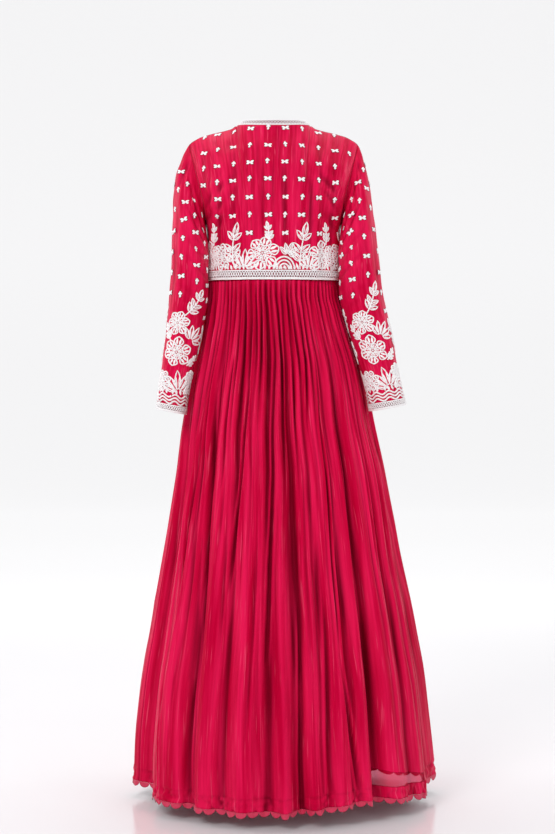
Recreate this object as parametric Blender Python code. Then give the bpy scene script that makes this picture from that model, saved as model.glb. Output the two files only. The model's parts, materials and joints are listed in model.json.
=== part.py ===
# Anarkali suit: a fitted, long-sleeved bodice over a floor-length skirt gathered into a high seam.
# Metres, +Z up. The front faces -Y, the back faces +Y, and the wearer's left is +X.
# The origin is the centre of the neck, level with the points where shoulder seams and neckline meet.

import math

import bmesh
import bpy
import numpy as np

# Walls and seams
BODICE_WALL = 0.0018
SLEEVE_WALL = 0.0016
TRIM_WALL = 0.0013
SKIRT_WALL_TOP = 0.0027
SKIRT_WALL_HEM = 0.0018
SEAM_GAP = 0.0003
LINING_GAP = 0.0007

# Bodice
WAIST_Z = -0.3385
UNDERARM_Z = -0.205
SHOULDER_Y = -0.006
NECK_SHARE = 0.431
NECK_COLUMNS = 6
SHOULDER_COLUMNS = 6
BODICE_LOW_ROWS = 4
BODICE_HIGH_ROWS = 9
TORSO_SQUARE = 0.88
WAIST_BAND_HEIGHT = 0.0205
NECK_BAND_HEIGHT = 0.0140
NECK_BAND_SIDE_LEAN = 13.0
NECK_BAND_BACK_LEAN = 9.0

# Sleeves: over the cap's share of the run, the armhole's shape eases into the sleeve's own ellipse
CAP_RINGS = 4
CAP_SHARE = 0.24
CAP_CROWDING = 1.3
CAP_EASING = 1.5
PLAIN_RINGS = 7
CUFF_BAND_HEIGHT = 0.016
CUFF_METRES_PER_RUN = 0.44

# Skirt
HEM_Z = -1.431
GATHERS = 80
GATHER_SHIFT = 0.28
GATHER_SHIFT_RATE = 0.61
GATHER_SHIFT_START = 3.0
GATHER_VARIATION = 0.35
PLEAT_GATHERS = 2
PLEAT_WANDER = 1.1
SEAM_CALM = 6
LIFT_POWER = 3

# Scalloped edging
SCALLOP_PITCH = 0.027
SCALLOP_DEPTH = 0.0115
SCALLOP_ROOT = 0.0015
SCALLOP_STEPS = 4
SCALLOP_ROUNDNESS = 0.6


def table(columns, *rows):
    """Rows of numbers with a name for each column."""
    return [dict(zip(columns.split(), row)) for row in rows]


# Half widths and depths of the bodice from the empire seam up to the underarm
TORSO = table(
    "z side back front",
    (-0.3385, 0.1420, 0.1020, 0.1120),
    (-0.2950, 0.1405, 0.1025, 0.1170),
    (-0.2400, 0.1418, 0.1060, 0.1200),
    (-0.2050, 0.1480, 0.1085, 0.1170),
)

# Armhole edge and centre lines of the panels; rise runs from the underarm (0) to the shoulder (1)
ARMHOLE = table(
    "rise side back front nape chest",
    (0.00, 0.1480, 0.000, 0.000, 0.1085, 0.1170),
    (0.04, 0.1475, 0.017, 0.016, 0.1088, 0.1165),
    (0.14, 0.1490, 0.032, 0.028, 0.1090, 0.1150),
    (0.30, 0.1540, 0.043, 0.036, 0.1085, 0.1120),
    (0.50, 0.1620, 0.047, 0.039, 0.1040, 0.1060),
    (0.70, 0.1700, 0.039, 0.035, 0.0930, 0.0980),
    (0.88, 0.1780, 0.019, 0.023, 0.0730, 0.0890),
    (1.00, 0.1820, -0.006, 0.006, 0.0540, 0.0820),
)

# Height of the panels' top edge from the centre (share 0) past the neck point to the shoulder's tip (1)
SHOULDER = table(
    "share back_z front_z",
    (0.000, -0.0080, -0.0680),
    (0.150, -0.0075, -0.0640),
    (0.300, -0.0055, -0.0460),
    (0.400, -0.0040, -0.0190),
    (0.431, -0.0035, -0.0035),
    (0.495, -0.0100, -0.0100),
    (0.780, -0.0235, -0.0235),
    (0.948, -0.0365, -0.0365),
    (1.000, -0.0440, -0.0440),
)

# Sleeves from the armhole (0) to the cuff (1): over-arm edge, under-arm edge, half depth and centre
SLEEVE_LEFT = table(
    "run over_x over_z under_x under_z deep y",
    (0.00, 0.1820, -0.0440, 0.1480, -0.2050, 0.046, 0.002),
    (0.03, 0.1880, -0.0520, 0.1482, -0.2100, 0.048, 0.002),
    (0.10, 0.2010, -0.0830, 0.1465, -0.2220, 0.051, 0.006),
    (0.20, 0.2110, -0.1350, 0.1430, -0.2450, 0.052, 0.021),
    (0.33, 0.2162, -0.2150, 0.1395, -0.2850, 0.050, 0.036),
    (0.48, 0.2200, -0.3200, 0.1392, -0.3500, 0.047, 0.047),
    (0.62, 0.2268, -0.4145, 0.1500, -0.4300, 0.043, 0.052),
    (0.76, 0.2372, -0.4950, 0.1665, -0.5100, 0.040, 0.052),
    (0.89, 0.2450, -0.5650, 0.1815, -0.5750, 0.038, 0.048),
    (1.00, 0.2506, -0.6130, 0.1890, -0.6260, 0.037, 0.044),
)
SLEEVE_RIGHT = table(
    "run over_x over_z under_x under_z deep y",
    (0.00, 0.1820, -0.0440, 0.1480, -0.2050, 0.046, 0.002),
    (0.03, 0.1870, -0.0520, 0.1482, -0.2100, 0.048, 0.002),
    (0.10, 0.1965, -0.0830, 0.1465, -0.2220, 0.051, 0.006),
    (0.20, 0.2068, -0.1350, 0.1430, -0.2450, 0.052, 0.021),
    (0.33, 0.2180, -0.2150, 0.1395, -0.2850, 0.051, 0.035),
    (0.48, 0.2300, -0.3300, 0.1400, -0.3520, 0.049, 0.044),
    (0.62, 0.2463, -0.4210, 0.1560, -0.4280, 0.045, 0.052),
    (0.76, 0.2605, -0.4950, 0.1790, -0.5050, 0.042, 0.052),
    (0.89, 0.2738, -0.5600, 0.1980, -0.5720, 0.040, 0.048),
    (1.00, 0.2835, -0.6050, 0.2070, -0.6190, 0.039, 0.044),
)

# Plan sections of the skirt: centre, half width, half depth; and how strong each size of fold is there
SKIRT = table(
    "z x y side deep gather pleat fold",
    (-0.3388, 0.000, -0.005, 0.1420, 0.1065, 0.0013, 0.0000, 0.00),
    (-0.3600, 0.000, -0.005, 0.1415, 0.1075, 0.0028, 0.0005, 0.01),
    (-0.4000, -0.002, -0.004, 0.1465, 0.1150, 0.0036, 0.0018, 0.05),
    (-0.4600, -0.005, -0.003, 0.1595, 0.1300, 0.0033, 0.0036, 0.16),
    (-0.5400, -0.008, -0.001, 0.1800, 0.1480, 0.0022, 0.0048, 0.32),
    (-0.6250, -0.008, 0.000, 0.1955, 0.1640, 0.0014, 0.0052, 0.46),
    (-0.7600, -0.014, 0.000, 0.2190, 0.1880, 0.0008, 0.0048, 0.62),
    (-0.9200, -0.015, 0.000, 0.2450, 0.2140, 0.0005, 0.0040, 0.78),
    (-1.1000, -0.018, 0.000, 0.2780, 0.2430, 0.0003, 0.0030, 0.90),
    (-1.2700, -0.018, 0.000, 0.3040, 0.2680, 0.0002, 0.0022, 0.97),
    (-1.4310, -0.022, 0.000, 0.3180, 0.2870, 0.0002, 0.0016, 1.00),
)
SKIRT_ROWS_Z = [
    -0.3388, -0.3520, -0.3750, -0.4150, -0.4800, -0.5700, -0.6900,
    -0.8300, -0.9800, -1.1300, -1.2800, -1.3850, -1.4310,
]

# Crests and troughs of the hem, anticlockwise from the wearer's left: reach from the plain hem, and lift
FOLDS = table(
    "angle reach lift",
    (-6.0, 0.014, 0.002),
    (10.0, -0.046, 0.000),
    (30.0, -0.003, 0.000),
    (41.0, 0.006, 0.000),
    (50.0, -0.020, 0.000),
    (58.0, 0.010, 0.000),
    (65.0, -0.008, 0.000),
    (75.0, 0.010, 0.000),
    (84.0, -0.012, 0.000),
    (90.5, 0.007, 0.000),
    (97.0, -0.021, 0.002),
    (102.0, 0.008, 0.004),
    (107.5, -0.008, 0.007),
    (113.0, 0.009, 0.010),
    (119.0, -0.013, 0.012),
    (123.5, 0.005, 0.013),
    (129.5, -0.027, 0.012),
    (139.0, 0.009, 0.008),
    (149.0, -0.004, 0.004),
    (158.0, 0.006, 0.001),
    (176.0, -0.014, 0.003),
    (190.0, 0.019, 0.008),
    (206.0, -0.016, 0.004),
    (219.0, 0.009, 0.000),
    (229.0, -0.010, 0.000),
    (239.0, 0.010, 0.000),
    (248.0, -0.016, 0.000),
    (256.0, 0.006, 0.000),
    (263.0, -0.008, 0.000),
    (271.0, 0.010, 0.000),
    (280.0, -0.018, 0.000),
    (288.0, 0.007, 0.000),
    (296.0, -0.008, 0.000),
    (305.0, 0.010, 0.000),
    (314.0, -0.017, 0.000),
    (325.0, 0.008, 0.000),
    (336.0, -0.012, 0.000),
)

# Waves that make the gathers uneven
UNEVEN_WAVES = table(
    "size rate start",
    (0.5, 1.71, 0.4),
    (0.3, 0.83, 1.9),
    (0.2, 2.93, 0.0),
)

# Lining and facing: the stretch of the hem where they show, as gather columns, and their edges
WINDOW = {
    "first": 55,
    "last": 73,
    "step": 0.5,
    "lining_top": -1.3300,
    "lining_edge_first": -1.3640,
    "lining_edge_last": -1.3960,
    "facing_top": -1.4060,
    "wall": 0.0010,
    "scallops": 6,
    "scallop_depth": 0.007,
}

# Colours and surface values
FINISHES = {
    "silk": {"colour": (0.55, 0.004, 0.060, 1.0), "rough": 0.55},
    "silk_sleeve": {"colour": (0.53, 0.004, 0.058, 1.0), "rough": 0.55},
    "skirt_silk": {"colour": (0.50, 0.003, 0.055, 1.0), "rough": 0.50},
    "lattice": {"colour": (0.80, 0.72, 0.74, 1.0), "rough": 0.70},
    "edging": {"colour": (0.68, 0.030, 0.120, 1.0), "rough": 0.60},
    "lining": {"colour": (0.52, 0.010, 0.070, 1.0), "rough": 0.60},
}


def clear_scene():
    for thing in list(bpy.data.objects):
        bpy.data.objects.remove(thing, do_unlink=True)


def finish(name):
    material = bpy.data.materials.get(name)
    if material is None:
        material = bpy.data.materials.new(name)
        material.use_nodes = True
        shader = material.node_tree.nodes["Principled BSDF"]
        shader.inputs["Base Color"].default_value = FINISHES[name]["colour"]
        shader.inputs["Roughness"].default_value = FINISHES[name]["rough"]
        shader.inputs["Metallic"].default_value = 0.0
    return material


def unit(vectors):
    """Vectors along the last axis, made one unit long."""
    return vectors / np.maximum(np.linalg.norm(vectors, axis=-1, keepdims=True), 1e-9)


def read(rows, key, column, at):
    """Value of a column where the key column equals at, on a curve that never overshoots its rows."""
    knots = np.array([row[key] for row in rows])
    values = np.array([row[column] for row in rows])
    if knots[0] > knots[-1]:
        knots = knots[::-1]
        values = values[::-1]
    steps = np.diff(knots)
    slopes = np.diff(values) / steps
    lean = np.zeros(len(knots))
    same_way = slopes[:-1] * slopes[1:] > 0
    inner = 2 * slopes[:-1] * slopes[1:] / np.where(same_way, slopes[:-1] + slopes[1:], 1)
    lean[1:-1] = np.where(same_way, inner, 0)
    lean[0] = slopes[0]
    lean[-1] = slopes[-1]
    at = np.clip(np.asarray(at, float), knots[0], knots[-1])
    index = np.clip(np.searchsorted(knots, at, side="right") - 1, 0, len(steps) - 1)
    share = (at - knots[index]) / steps[index]
    left = values[index] + share * steps[index] * lean[index]
    right = values[index + 1] - (1 - share) * steps[index] * lean[index + 1]
    blend = share * share * (3 - 2 * share)
    return left * (1 - blend) + right * blend


def normals(grid, closed):
    """Unit normals of a grid of points (rows, columns, 3), as rows run up and columns run anticlockwise."""
    up = np.gradient(grid, axis=0)
    if closed:
        along = np.roll(grid, -1, axis=1) - np.roll(grid, 1, axis=1)
    else:
        along = np.gradient(grid, axis=1)
    return unit(np.cross(along, up))


def wall(name, outer, inner, finish_name, closed=False):
    """A closed cloth wall between two grids of points of the same shape."""
    rows, columns = outer.shape[:2]
    points = np.concatenate([outer.reshape(-1, 3), inner.reshape(-1, 3)])
    mesh = bmesh.new()
    vertices = [mesh.verts.new(point) for point in points]
    shift = rows * columns

    def corner(row, column, side):
        return vertices[side * shift + row * columns + column % columns]

    def split(a, b, c, d):
        mesh.faces.new((a, b, c))
        mesh.faces.new((a, c, d))

    spans = columns if closed else columns - 1
    for column in range(spans):
        for row in range(rows - 1):
            for side in (0, 1):
                split(
                    corner(row, column, side),
                    corner(row, column + 1, side),
                    corner(row + 1, column + 1, side),
                    corner(row + 1, column, side),
                )
        for row in (0, rows - 1):
            split(
                corner(row, column, 0),
                corner(row, column + 1, 0),
                corner(row, column + 1, 1),
                corner(row, column, 1),
            )
    if not closed:
        for row in range(rows - 1):
            for column in (0, columns - 1):
                split(
                    corner(row, column, 0),
                    corner(row + 1, column, 0),
                    corner(row + 1, column, 1),
                    corner(row, column, 1),
                )
    bmesh.ops.recalc_face_normals(mesh, faces=mesh.faces)
    if mesh.calc_volume(signed=True) < 0:
        bmesh.ops.reverse_faces(mesh, faces=mesh.faces)
    data = bpy.data.meshes.new(name)
    mesh.to_mesh(data)
    mesh.free()
    data.materials.append(finish(finish_name))
    data.shade_smooth()
    thing = bpy.data.objects.new(name, data)
    bpy.context.scene.collection.objects.link(thing)


def quarter_sines(count):
    """Shares from 0 to 1 that crowd together towards 1."""
    return np.sin(np.linspace(0, math.pi / 2, count + 1))


def bodice_panel(side):
    """Outer and inner points of one panel, from the empire seam up; side is 'back' or 'front'."""
    facing = 1 if side == "back" else -1
    centre_line = "nape" if side == "back" else "chest"
    to_neck = NECK_SHARE * quarter_sines(NECK_COLUMNS)
    beyond = NECK_SHARE + (1 - NECK_SHARE) * quarter_sines(SHOULDER_COLUMNS)[1:]
    shares = np.concatenate([to_neck, beyond])
    share = np.concatenate([shares[::-1], shares[1:]])
    sign = facing * np.concatenate([np.ones(len(shares)), -np.ones(len(shares) - 1)])
    bulge = np.power(np.clip(1 - share**2, 0, 1), TORSO_SQUARE / 2)
    rows = []
    for z in np.linspace(WAIST_Z, UNDERARM_Z, BODICE_LOW_ROWS + 1)[:-1]:
        x = read(TORSO, "z", "side", z) * share * sign
        y = facing * read(TORSO, "z", side, z) * bulge
        rows.append(np.stack([x, y, np.full_like(x, z)], axis=1))
    top_z = read(SHOULDER, "share", side + "_z", share)
    ring = np.clip(share / NECK_SHARE, 0, 1)
    neck = read(ARMHOLE, "rise", centre_line, 1.0)
    top_y = SHOULDER_Y + (facing * neck - SHOULDER_Y) * np.sqrt(1 - ring**2)
    for rise in quarter_sines(BODICE_HIGH_ROWS):
        edge_x = read(ARMHOLE, "rise", "side", rise)
        edge_y = facing * read(ARMHOLE, "rise", side, rise)
        centre_y = facing * read(ARMHOLE, "rise", centre_line, rise)
        over = 1 - math.sqrt(max(0.0, 1 - rise**2))
        body_y = edge_y + (centre_y - edge_y) * bulge
        x = edge_x * share * sign
        y = body_y * (1 - over) + top_y * over
        z = UNDERARM_Z + (top_z - UNDERARM_Z) * rise
        rows.append(np.stack([x, y, z], axis=1))
    outer = np.array(rows)
    way = normals(outer, False)
    way[:, (0, -1), 1] = 0
    on_shoulder = share >= NECK_SHARE
    way[-1, on_shoulder] = (0, 0, 1)
    inner = outer - unit(way) * BODICE_WALL
    for grid in (outer, inner):
        grid[: BODICE_LOW_ROWS + 1, (0, -1), 1] += facing * SEAM_GAP / 2
        grid[-1, on_shoulder, 1] += facing * SEAM_GAP / 2
    return outer, inner


def armhole_loop(back, front, right):
    """Edge of the armhole from the underarm up the back, over the shoulder and down the front."""
    up_back = back[BODICE_LOW_ROWS:, -1 if right else 0]
    up_front = front[BODICE_LOW_ROWS:, 0 if right else -1]
    loop = np.concatenate([up_back, up_front[::-1][1:-1]])
    loop[0] = (up_back[0] + up_front[0]) / 2
    loop[len(up_back) - 1] = (up_back[-1] + up_front[-1]) / 2
    return loop


def sleeve(rows, loop, right):
    """Outer and inner points of a sleeve, ring by ring from the armhole to the cuff."""
    out = -1 if right else 1
    turn = np.linspace(-math.pi / 2, 3 * math.pi / 2, len(loop) + 1)[:-1]

    def ring(run):
        over = np.array([out * read(rows, "run", "over_x", run), 0, read(rows, "run", "over_z", run)])
        under = np.array([out * read(rows, "run", "under_x", run), 0, read(rows, "run", "under_z", run)])
        deep = np.array([0, read(rows, "run", "deep", run), 0])
        middle = (over + under) / 2 + np.array([0, read(rows, "run", "y", run), 0])
        return middle + np.outer(np.sin(turn), (over - under) / 2) + np.outer(np.cos(turn), deep)

    cap = CAP_SHARE * np.linspace(0, 1, CAP_RINGS + 1)[:-1] ** CAP_CROWDING
    plain = np.linspace(CAP_SHARE, 1, PLAIN_RINGS + 1)[:-1]
    band = CUFF_BAND_HEIGHT / CUFF_METRES_PER_RUN
    apart = loop + np.array([out * SEAM_GAP, 0, 0]) - ring(0.0)
    rings = []
    for index, run in enumerate(np.concatenate([cap, plain, [1 - band, 1]])):
        fade = max(0.0, 1 - index / CAP_RINGS) ** CAP_EASING
        rings.append(ring(run) + apart * fade)
    outer = np.array(rings)
    inner = outer - out * normals(outer, True) * SLEEVE_WALL
    return outer, inner


def away_from_seams(column):
    """1 over the skirt's panels, easing to 0 at the side seams."""
    return np.clip(np.abs(np.sin(math.pi * column / GATHERS)) * SEAM_CALM, 0, 1)


def unevenness(column):
    """A smooth uneven number from -1 to 1 for each gather."""
    return sum(wave["size"] * np.sin(wave["rate"] * column + wave["start"]) for wave in UNEVEN_WAVES)


def gather_angle(column):
    """Angle of a gather column round the skirt, unevenly spaced except at the side seams."""
    shift = unevenness(GATHER_SHIFT_RATE * column + GATHER_SHIFT_START) * away_from_seams(column)
    return math.pi / GATHERS * (column + GATHER_SHIFT * shift)


def fold_value(angle, key):
    """Reach or lift of the hem at an angle, easing from each crest to the next trough."""
    knots = np.array([fold["angle"] for fold in FOLDS] + [FOLDS[0]["angle"] + 360])
    values = np.array([fold[key] for fold in FOLDS] + [FOLDS[0][key]])
    degrees = (np.degrees(angle) - knots[0]) % 360 + knots[0]
    index = np.clip(np.searchsorted(knots, degrees, side="right") - 1, 0, len(knots) - 2)
    share = (degrees - knots[index]) / (knots[index + 1] - knots[index])
    ease = (1 - np.cos(math.pi * share)) / 2
    return values[index] * (1 - ease) + values[index + 1] * ease


def skirt_points(columns, heights, inward):
    """Points of the skirt for gather columns and heights, moved inward by a distance for each height."""
    angle = gather_angle(columns)[None, :]
    z = np.asarray(heights)[:, None]
    side = read(SKIRT, "z", "side", z)
    deep = read(SKIRT, "z", "deep", z)
    uneven = (unevenness(columns) * away_from_seams(columns))[None, :]
    gather = np.cos(math.pi * columns)[None, :] * (1 + GATHER_VARIATION * uneven)
    pleat = np.cos(math.pi * columns / PLEAT_GATHERS + PLEAT_WANDER * uneven)
    reach = read(SKIRT, "z", "gather", z) * gather + read(SKIRT, "z", "pleat", z) * pleat
    reach = reach + read(SKIRT, "z", "fold", z) * fold_value(angle, "reach") - np.asarray(inward)[:, None]
    normal_x = np.cos(angle) / side
    normal_y = np.sin(angle) / deep
    length = np.hypot(normal_x, normal_y)
    x = read(SKIRT, "z", "x", z) + side * np.cos(angle) + reach * normal_x / length
    y = read(SKIRT, "z", "y", z) + deep * np.sin(angle) + reach * normal_y / length
    fall = np.clip((z - WAIST_Z) / (HEM_Z - WAIST_Z), 0, 1)
    height = z + fold_value(angle, "lift") * fall**LIFT_POWER
    return np.stack([x, y, height], axis=2)


def skirt_half(first):
    """Outer and inner points of the skirt's back (first column 0) or front (first column GATHERS)."""
    columns = np.arange(first, first + GATHERS + 1, dtype=float)
    facing = 1 if first == 0 else -1
    fall = (np.array(SKIRT_ROWS_Z) - SKIRT_ROWS_Z[0]) / (HEM_Z - SKIRT_ROWS_Z[0])
    thickness = SKIRT_WALL_TOP + (SKIRT_WALL_HEM - SKIRT_WALL_TOP) * fall
    outer = skirt_points(columns, SKIRT_ROWS_Z, 0 * thickness)
    inner = skirt_points(columns, SKIRT_ROWS_Z, thickness)
    for grid in (outer, inner):
        grid[:, (0, -1), 1] += facing * SEAM_GAP / 2
    return outer, inner


def scallop_curve(phase):
    """Depth of a scallop from 0 at its ends to 1 at its middle."""
    return np.power(np.sin(math.pi * (phase % 1)), SCALLOP_ROUNDNESS)


def scallop_edge(outer, inner):
    """Edging below one half of the hem: scallops of equal width along the hem's own curve."""
    steps = np.linalg.norm(np.diff(outer[-1], axis=0), axis=1)
    length = np.concatenate([[0], np.cumsum(steps)])
    scallops = int(round(length[-1] / SCALLOP_PITCH))
    places = np.linspace(0, length[-1], scallops * SCALLOP_STEPS + 1)
    phase = np.linspace(0, scallops, scallops * SCALLOP_STEPS + 1)
    depth = SCALLOP_ROOT + (SCALLOP_DEPTH - SCALLOP_ROOT) * scallop_curve(phase)
    grids = []
    for row in (outer[-1], inner[-1]):
        top = np.stack([np.interp(places, length, row[:, axis]) for axis in range(3)], axis=1)
        top[:, 2] -= SEAM_GAP
        bottom = top.copy()
        bottom[:, 2] -= depth
        grids.append(np.array([top, bottom]))
    middle = (grids[0] + grids[1]) / 2
    half = unit(grids[0] - grids[1]) * TRIM_WALL / 2
    return middle + half, middle - half


def skirt_wall_at(skirt, column, level):
    """Points on the outer and inner face of the skirt's back at a gather column and a height."""
    levels = np.array(SKIRT_ROWS_Z)
    below = min(int(np.sum(levels > level)), len(levels) - 1)
    rise = (level - levels[below]) / (levels[below - 1] - levels[below])
    beside = min(int(column), GATHERS - 1)
    across = column - beside
    found = []
    for layer in skirt:
        pair = layer[[below, below - 1]]
        edges = pair[:, beside] * (1 - across) + pair[:, beside + 1] * across
        found.append(edges[0] * (1 - rise) + edges[1] * rise)
    return found


def lining_strip(skirt, top, bottom_first, bottom_last, scallops):
    """A strip just inside the back of the skirt, with its lower edge slanting from first to last column."""
    columns = np.arange(WINDOW["first"], WINDOW["last"] + WINDOW["step"], WINDOW["step"])
    share = np.linspace(0, 1, len(columns))
    edge = bottom_first + (bottom_last - bottom_first) * share
    if scallops:
        edge = edge + WINDOW["scallop_depth"] * (1 - scallop_curve(share * scallops))
    grids = []
    for inward in (LINING_GAP, LINING_GAP + WINDOW["wall"]):
        rows = []
        for heights in (np.full_like(columns, top), edge):
            row = []
            for column, level in zip(columns, heights):
                outside, inside = skirt_wall_at(skirt, column, level)
                row.append(inside + unit(inside - outside) * inward)
            rows.append(row)
        grids.append(np.array(rows))
    return grids


def moved_out(outer, inner):
    """Trim over a stretch of a cloth wall: its points, moved out by the seam gap and a wall."""
    way = unit(outer - inner)
    return outer + way * (SEAM_GAP + TRIM_WALL), outer + way * SEAM_GAP


def make_bodice():
    back = bodice_panel("back")
    front = bodice_panel("front")
    wall("bodice_back", *back, "silk")
    wall("bodice_front", *front, "silk")
    return back, front


def make_waist_band(back, front):
    """A closed band over the lowest stretch of both panels."""
    grids = []
    for layer in (0, 1):
        ring = np.concatenate([back[layer][:2, :-1], front[layer][:2, :-1]], axis=1)
        share = WAIST_BAND_HEIGHT / (ring[1, :, 2] - ring[0, :, 2])
        ring[1] = ring[0] + (ring[1] - ring[0]) * share[:, None]
        grids.append(ring)
    wall("waist_band", *moved_out(*grids), "lattice", closed=True)


def make_neck_band(back, front):
    """A closed band that stands on the neckline, leaning in towards the neck."""
    centre = (back[0].shape[1] - 1) // 2
    grids = []
    for layer in (0, 1):
        across_back = back[layer][-1, centre - NECK_COLUMNS : centre + NECK_COLUMNS + 1]
        across_front = front[layer][-1, centre - NECK_COLUMNS : centre + NECK_COLUMNS + 1]
        ring = np.concatenate([across_back[:-1], across_front[:-1]])
        ring[0] = (across_back[0] + across_front[-1]) / 2
        ring[2 * NECK_COLUMNS] = (across_back[-1] + across_front[0]) / 2
        grids.append(ring)
    side_lean = -NECK_BAND_SIDE_LEAN * grids[0][:, 0]
    back_lean = -NECK_BAND_BACK_LEAN * grids[0][:, 1]
    lean = unit(np.stack([side_lean, back_lean, np.ones(len(grids[0]))], axis=1))
    bands = [np.array([ring + lean * SEAM_GAP, ring + lean * NECK_BAND_HEIGHT]) for ring in grids]
    wall("neck_band", bands[0], bands[1], "lattice", closed=True)


def make_sleeves(back, front):
    for name, rows, right in (("left", SLEEVE_LEFT, False), ("right", SLEEVE_RIGHT, True)):
        loop = armhole_loop(back[0], front[0], right)
        outer, inner = sleeve(rows, loop, right)
        wall("sleeve_" + name, outer, inner, "silk_sleeve", closed=True)
        wall("cuff_band_" + name, *moved_out(outer[-2:], inner[-2:]), "lattice", closed=True)


def make_skirt():
    halves = {}
    for name, first in (("back", 0), ("front", GATHERS)):
        outer, inner = skirt_half(first)
        wall("skirt_" + name, outer, inner, "skirt_silk")
        wall("scallops_" + name, *scallop_edge(outer, inner), "edging")
        halves[name] = (outer, inner)
    return halves["back"]


def make_lining(skirt_back):
    edges = (WINDOW["lining_edge_first"], WINDOW["lining_edge_last"])
    wall("lining_hem", *lining_strip(skirt_back, WINDOW["lining_top"], *edges, WINDOW["scallops"]), "lining")
    wall("hem_facing", *lining_strip(skirt_back, WINDOW["facing_top"], HEM_Z, HEM_Z, 0), "lining")


def main():
    clear_scene()
    back, front = make_bodice()
    make_waist_band(back, front)
    make_neck_band(back, front)
    make_sleeves(back, front)
    skirt_back = make_skirt()
    make_lining(skirt_back)


main()
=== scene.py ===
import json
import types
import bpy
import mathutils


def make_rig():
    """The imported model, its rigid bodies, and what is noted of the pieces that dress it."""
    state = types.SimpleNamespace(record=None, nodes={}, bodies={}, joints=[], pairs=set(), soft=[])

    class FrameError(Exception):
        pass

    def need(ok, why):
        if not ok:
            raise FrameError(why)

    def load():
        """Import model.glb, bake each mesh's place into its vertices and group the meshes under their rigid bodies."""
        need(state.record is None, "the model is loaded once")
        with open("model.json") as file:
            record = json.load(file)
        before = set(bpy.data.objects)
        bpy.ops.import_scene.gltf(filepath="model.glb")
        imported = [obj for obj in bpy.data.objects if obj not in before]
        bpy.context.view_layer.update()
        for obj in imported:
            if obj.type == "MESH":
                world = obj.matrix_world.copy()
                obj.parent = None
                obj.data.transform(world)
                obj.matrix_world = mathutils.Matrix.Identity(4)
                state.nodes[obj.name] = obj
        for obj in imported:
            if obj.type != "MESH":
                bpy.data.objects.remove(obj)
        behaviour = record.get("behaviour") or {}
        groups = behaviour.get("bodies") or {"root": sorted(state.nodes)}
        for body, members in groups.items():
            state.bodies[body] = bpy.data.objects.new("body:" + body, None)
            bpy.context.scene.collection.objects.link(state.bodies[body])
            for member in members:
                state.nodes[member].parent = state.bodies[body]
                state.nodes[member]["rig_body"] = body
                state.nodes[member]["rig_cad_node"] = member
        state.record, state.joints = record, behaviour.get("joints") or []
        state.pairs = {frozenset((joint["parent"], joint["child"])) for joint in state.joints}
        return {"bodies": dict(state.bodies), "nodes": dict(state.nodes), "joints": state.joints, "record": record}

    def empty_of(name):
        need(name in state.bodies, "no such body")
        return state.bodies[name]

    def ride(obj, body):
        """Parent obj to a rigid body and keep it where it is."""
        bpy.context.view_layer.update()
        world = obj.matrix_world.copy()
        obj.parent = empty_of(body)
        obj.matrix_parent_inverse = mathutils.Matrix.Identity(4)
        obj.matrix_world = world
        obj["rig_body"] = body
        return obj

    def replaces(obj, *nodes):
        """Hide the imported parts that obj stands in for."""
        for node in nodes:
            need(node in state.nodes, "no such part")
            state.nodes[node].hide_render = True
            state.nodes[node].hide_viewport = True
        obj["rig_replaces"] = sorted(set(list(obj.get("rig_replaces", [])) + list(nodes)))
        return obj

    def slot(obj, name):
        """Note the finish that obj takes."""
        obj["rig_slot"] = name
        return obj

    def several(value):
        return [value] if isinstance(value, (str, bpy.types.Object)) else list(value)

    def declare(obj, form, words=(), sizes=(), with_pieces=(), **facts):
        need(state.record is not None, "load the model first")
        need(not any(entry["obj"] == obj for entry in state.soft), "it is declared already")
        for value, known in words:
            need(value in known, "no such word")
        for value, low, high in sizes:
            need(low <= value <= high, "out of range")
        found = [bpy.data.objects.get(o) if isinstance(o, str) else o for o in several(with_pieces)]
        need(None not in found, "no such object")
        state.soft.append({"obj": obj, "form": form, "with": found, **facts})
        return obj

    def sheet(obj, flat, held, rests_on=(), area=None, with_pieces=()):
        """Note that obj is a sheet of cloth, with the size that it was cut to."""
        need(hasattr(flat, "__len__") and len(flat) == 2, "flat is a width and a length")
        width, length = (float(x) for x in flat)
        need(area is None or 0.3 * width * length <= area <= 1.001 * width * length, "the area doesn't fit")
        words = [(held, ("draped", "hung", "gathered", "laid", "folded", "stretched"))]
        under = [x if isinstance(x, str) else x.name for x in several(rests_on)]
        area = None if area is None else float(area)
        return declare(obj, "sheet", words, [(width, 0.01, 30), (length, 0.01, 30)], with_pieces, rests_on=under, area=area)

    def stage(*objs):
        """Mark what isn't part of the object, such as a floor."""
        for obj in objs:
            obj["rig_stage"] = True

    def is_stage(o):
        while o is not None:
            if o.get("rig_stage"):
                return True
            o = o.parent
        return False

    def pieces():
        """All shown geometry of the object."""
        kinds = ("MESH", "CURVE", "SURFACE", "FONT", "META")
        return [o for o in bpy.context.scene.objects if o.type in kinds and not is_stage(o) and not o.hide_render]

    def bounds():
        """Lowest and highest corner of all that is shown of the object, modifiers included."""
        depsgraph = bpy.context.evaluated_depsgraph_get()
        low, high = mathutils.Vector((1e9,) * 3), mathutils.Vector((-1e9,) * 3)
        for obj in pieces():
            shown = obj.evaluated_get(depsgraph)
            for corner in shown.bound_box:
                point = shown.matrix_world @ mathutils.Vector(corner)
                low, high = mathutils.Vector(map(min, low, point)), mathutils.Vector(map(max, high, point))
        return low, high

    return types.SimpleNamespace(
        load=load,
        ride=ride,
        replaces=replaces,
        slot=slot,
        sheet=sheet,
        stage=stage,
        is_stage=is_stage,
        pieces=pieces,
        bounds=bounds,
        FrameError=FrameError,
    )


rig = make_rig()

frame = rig.load()
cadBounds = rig.bounds()

import json
import math

import bpy
import numpy as np
from mathutils import Matrix, Vector
from mathutils.bvhtree import BVHTree
from mathutils.kdtree import KDTree

# Anarkali suit seen from behind. Metres, +Z up, back of the garment towards +Y, wearer's left towards +X.
# Its forms are worked out from the same sizes as the solids, with the cloth's finer folds added.
print("frame loaded")


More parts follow.
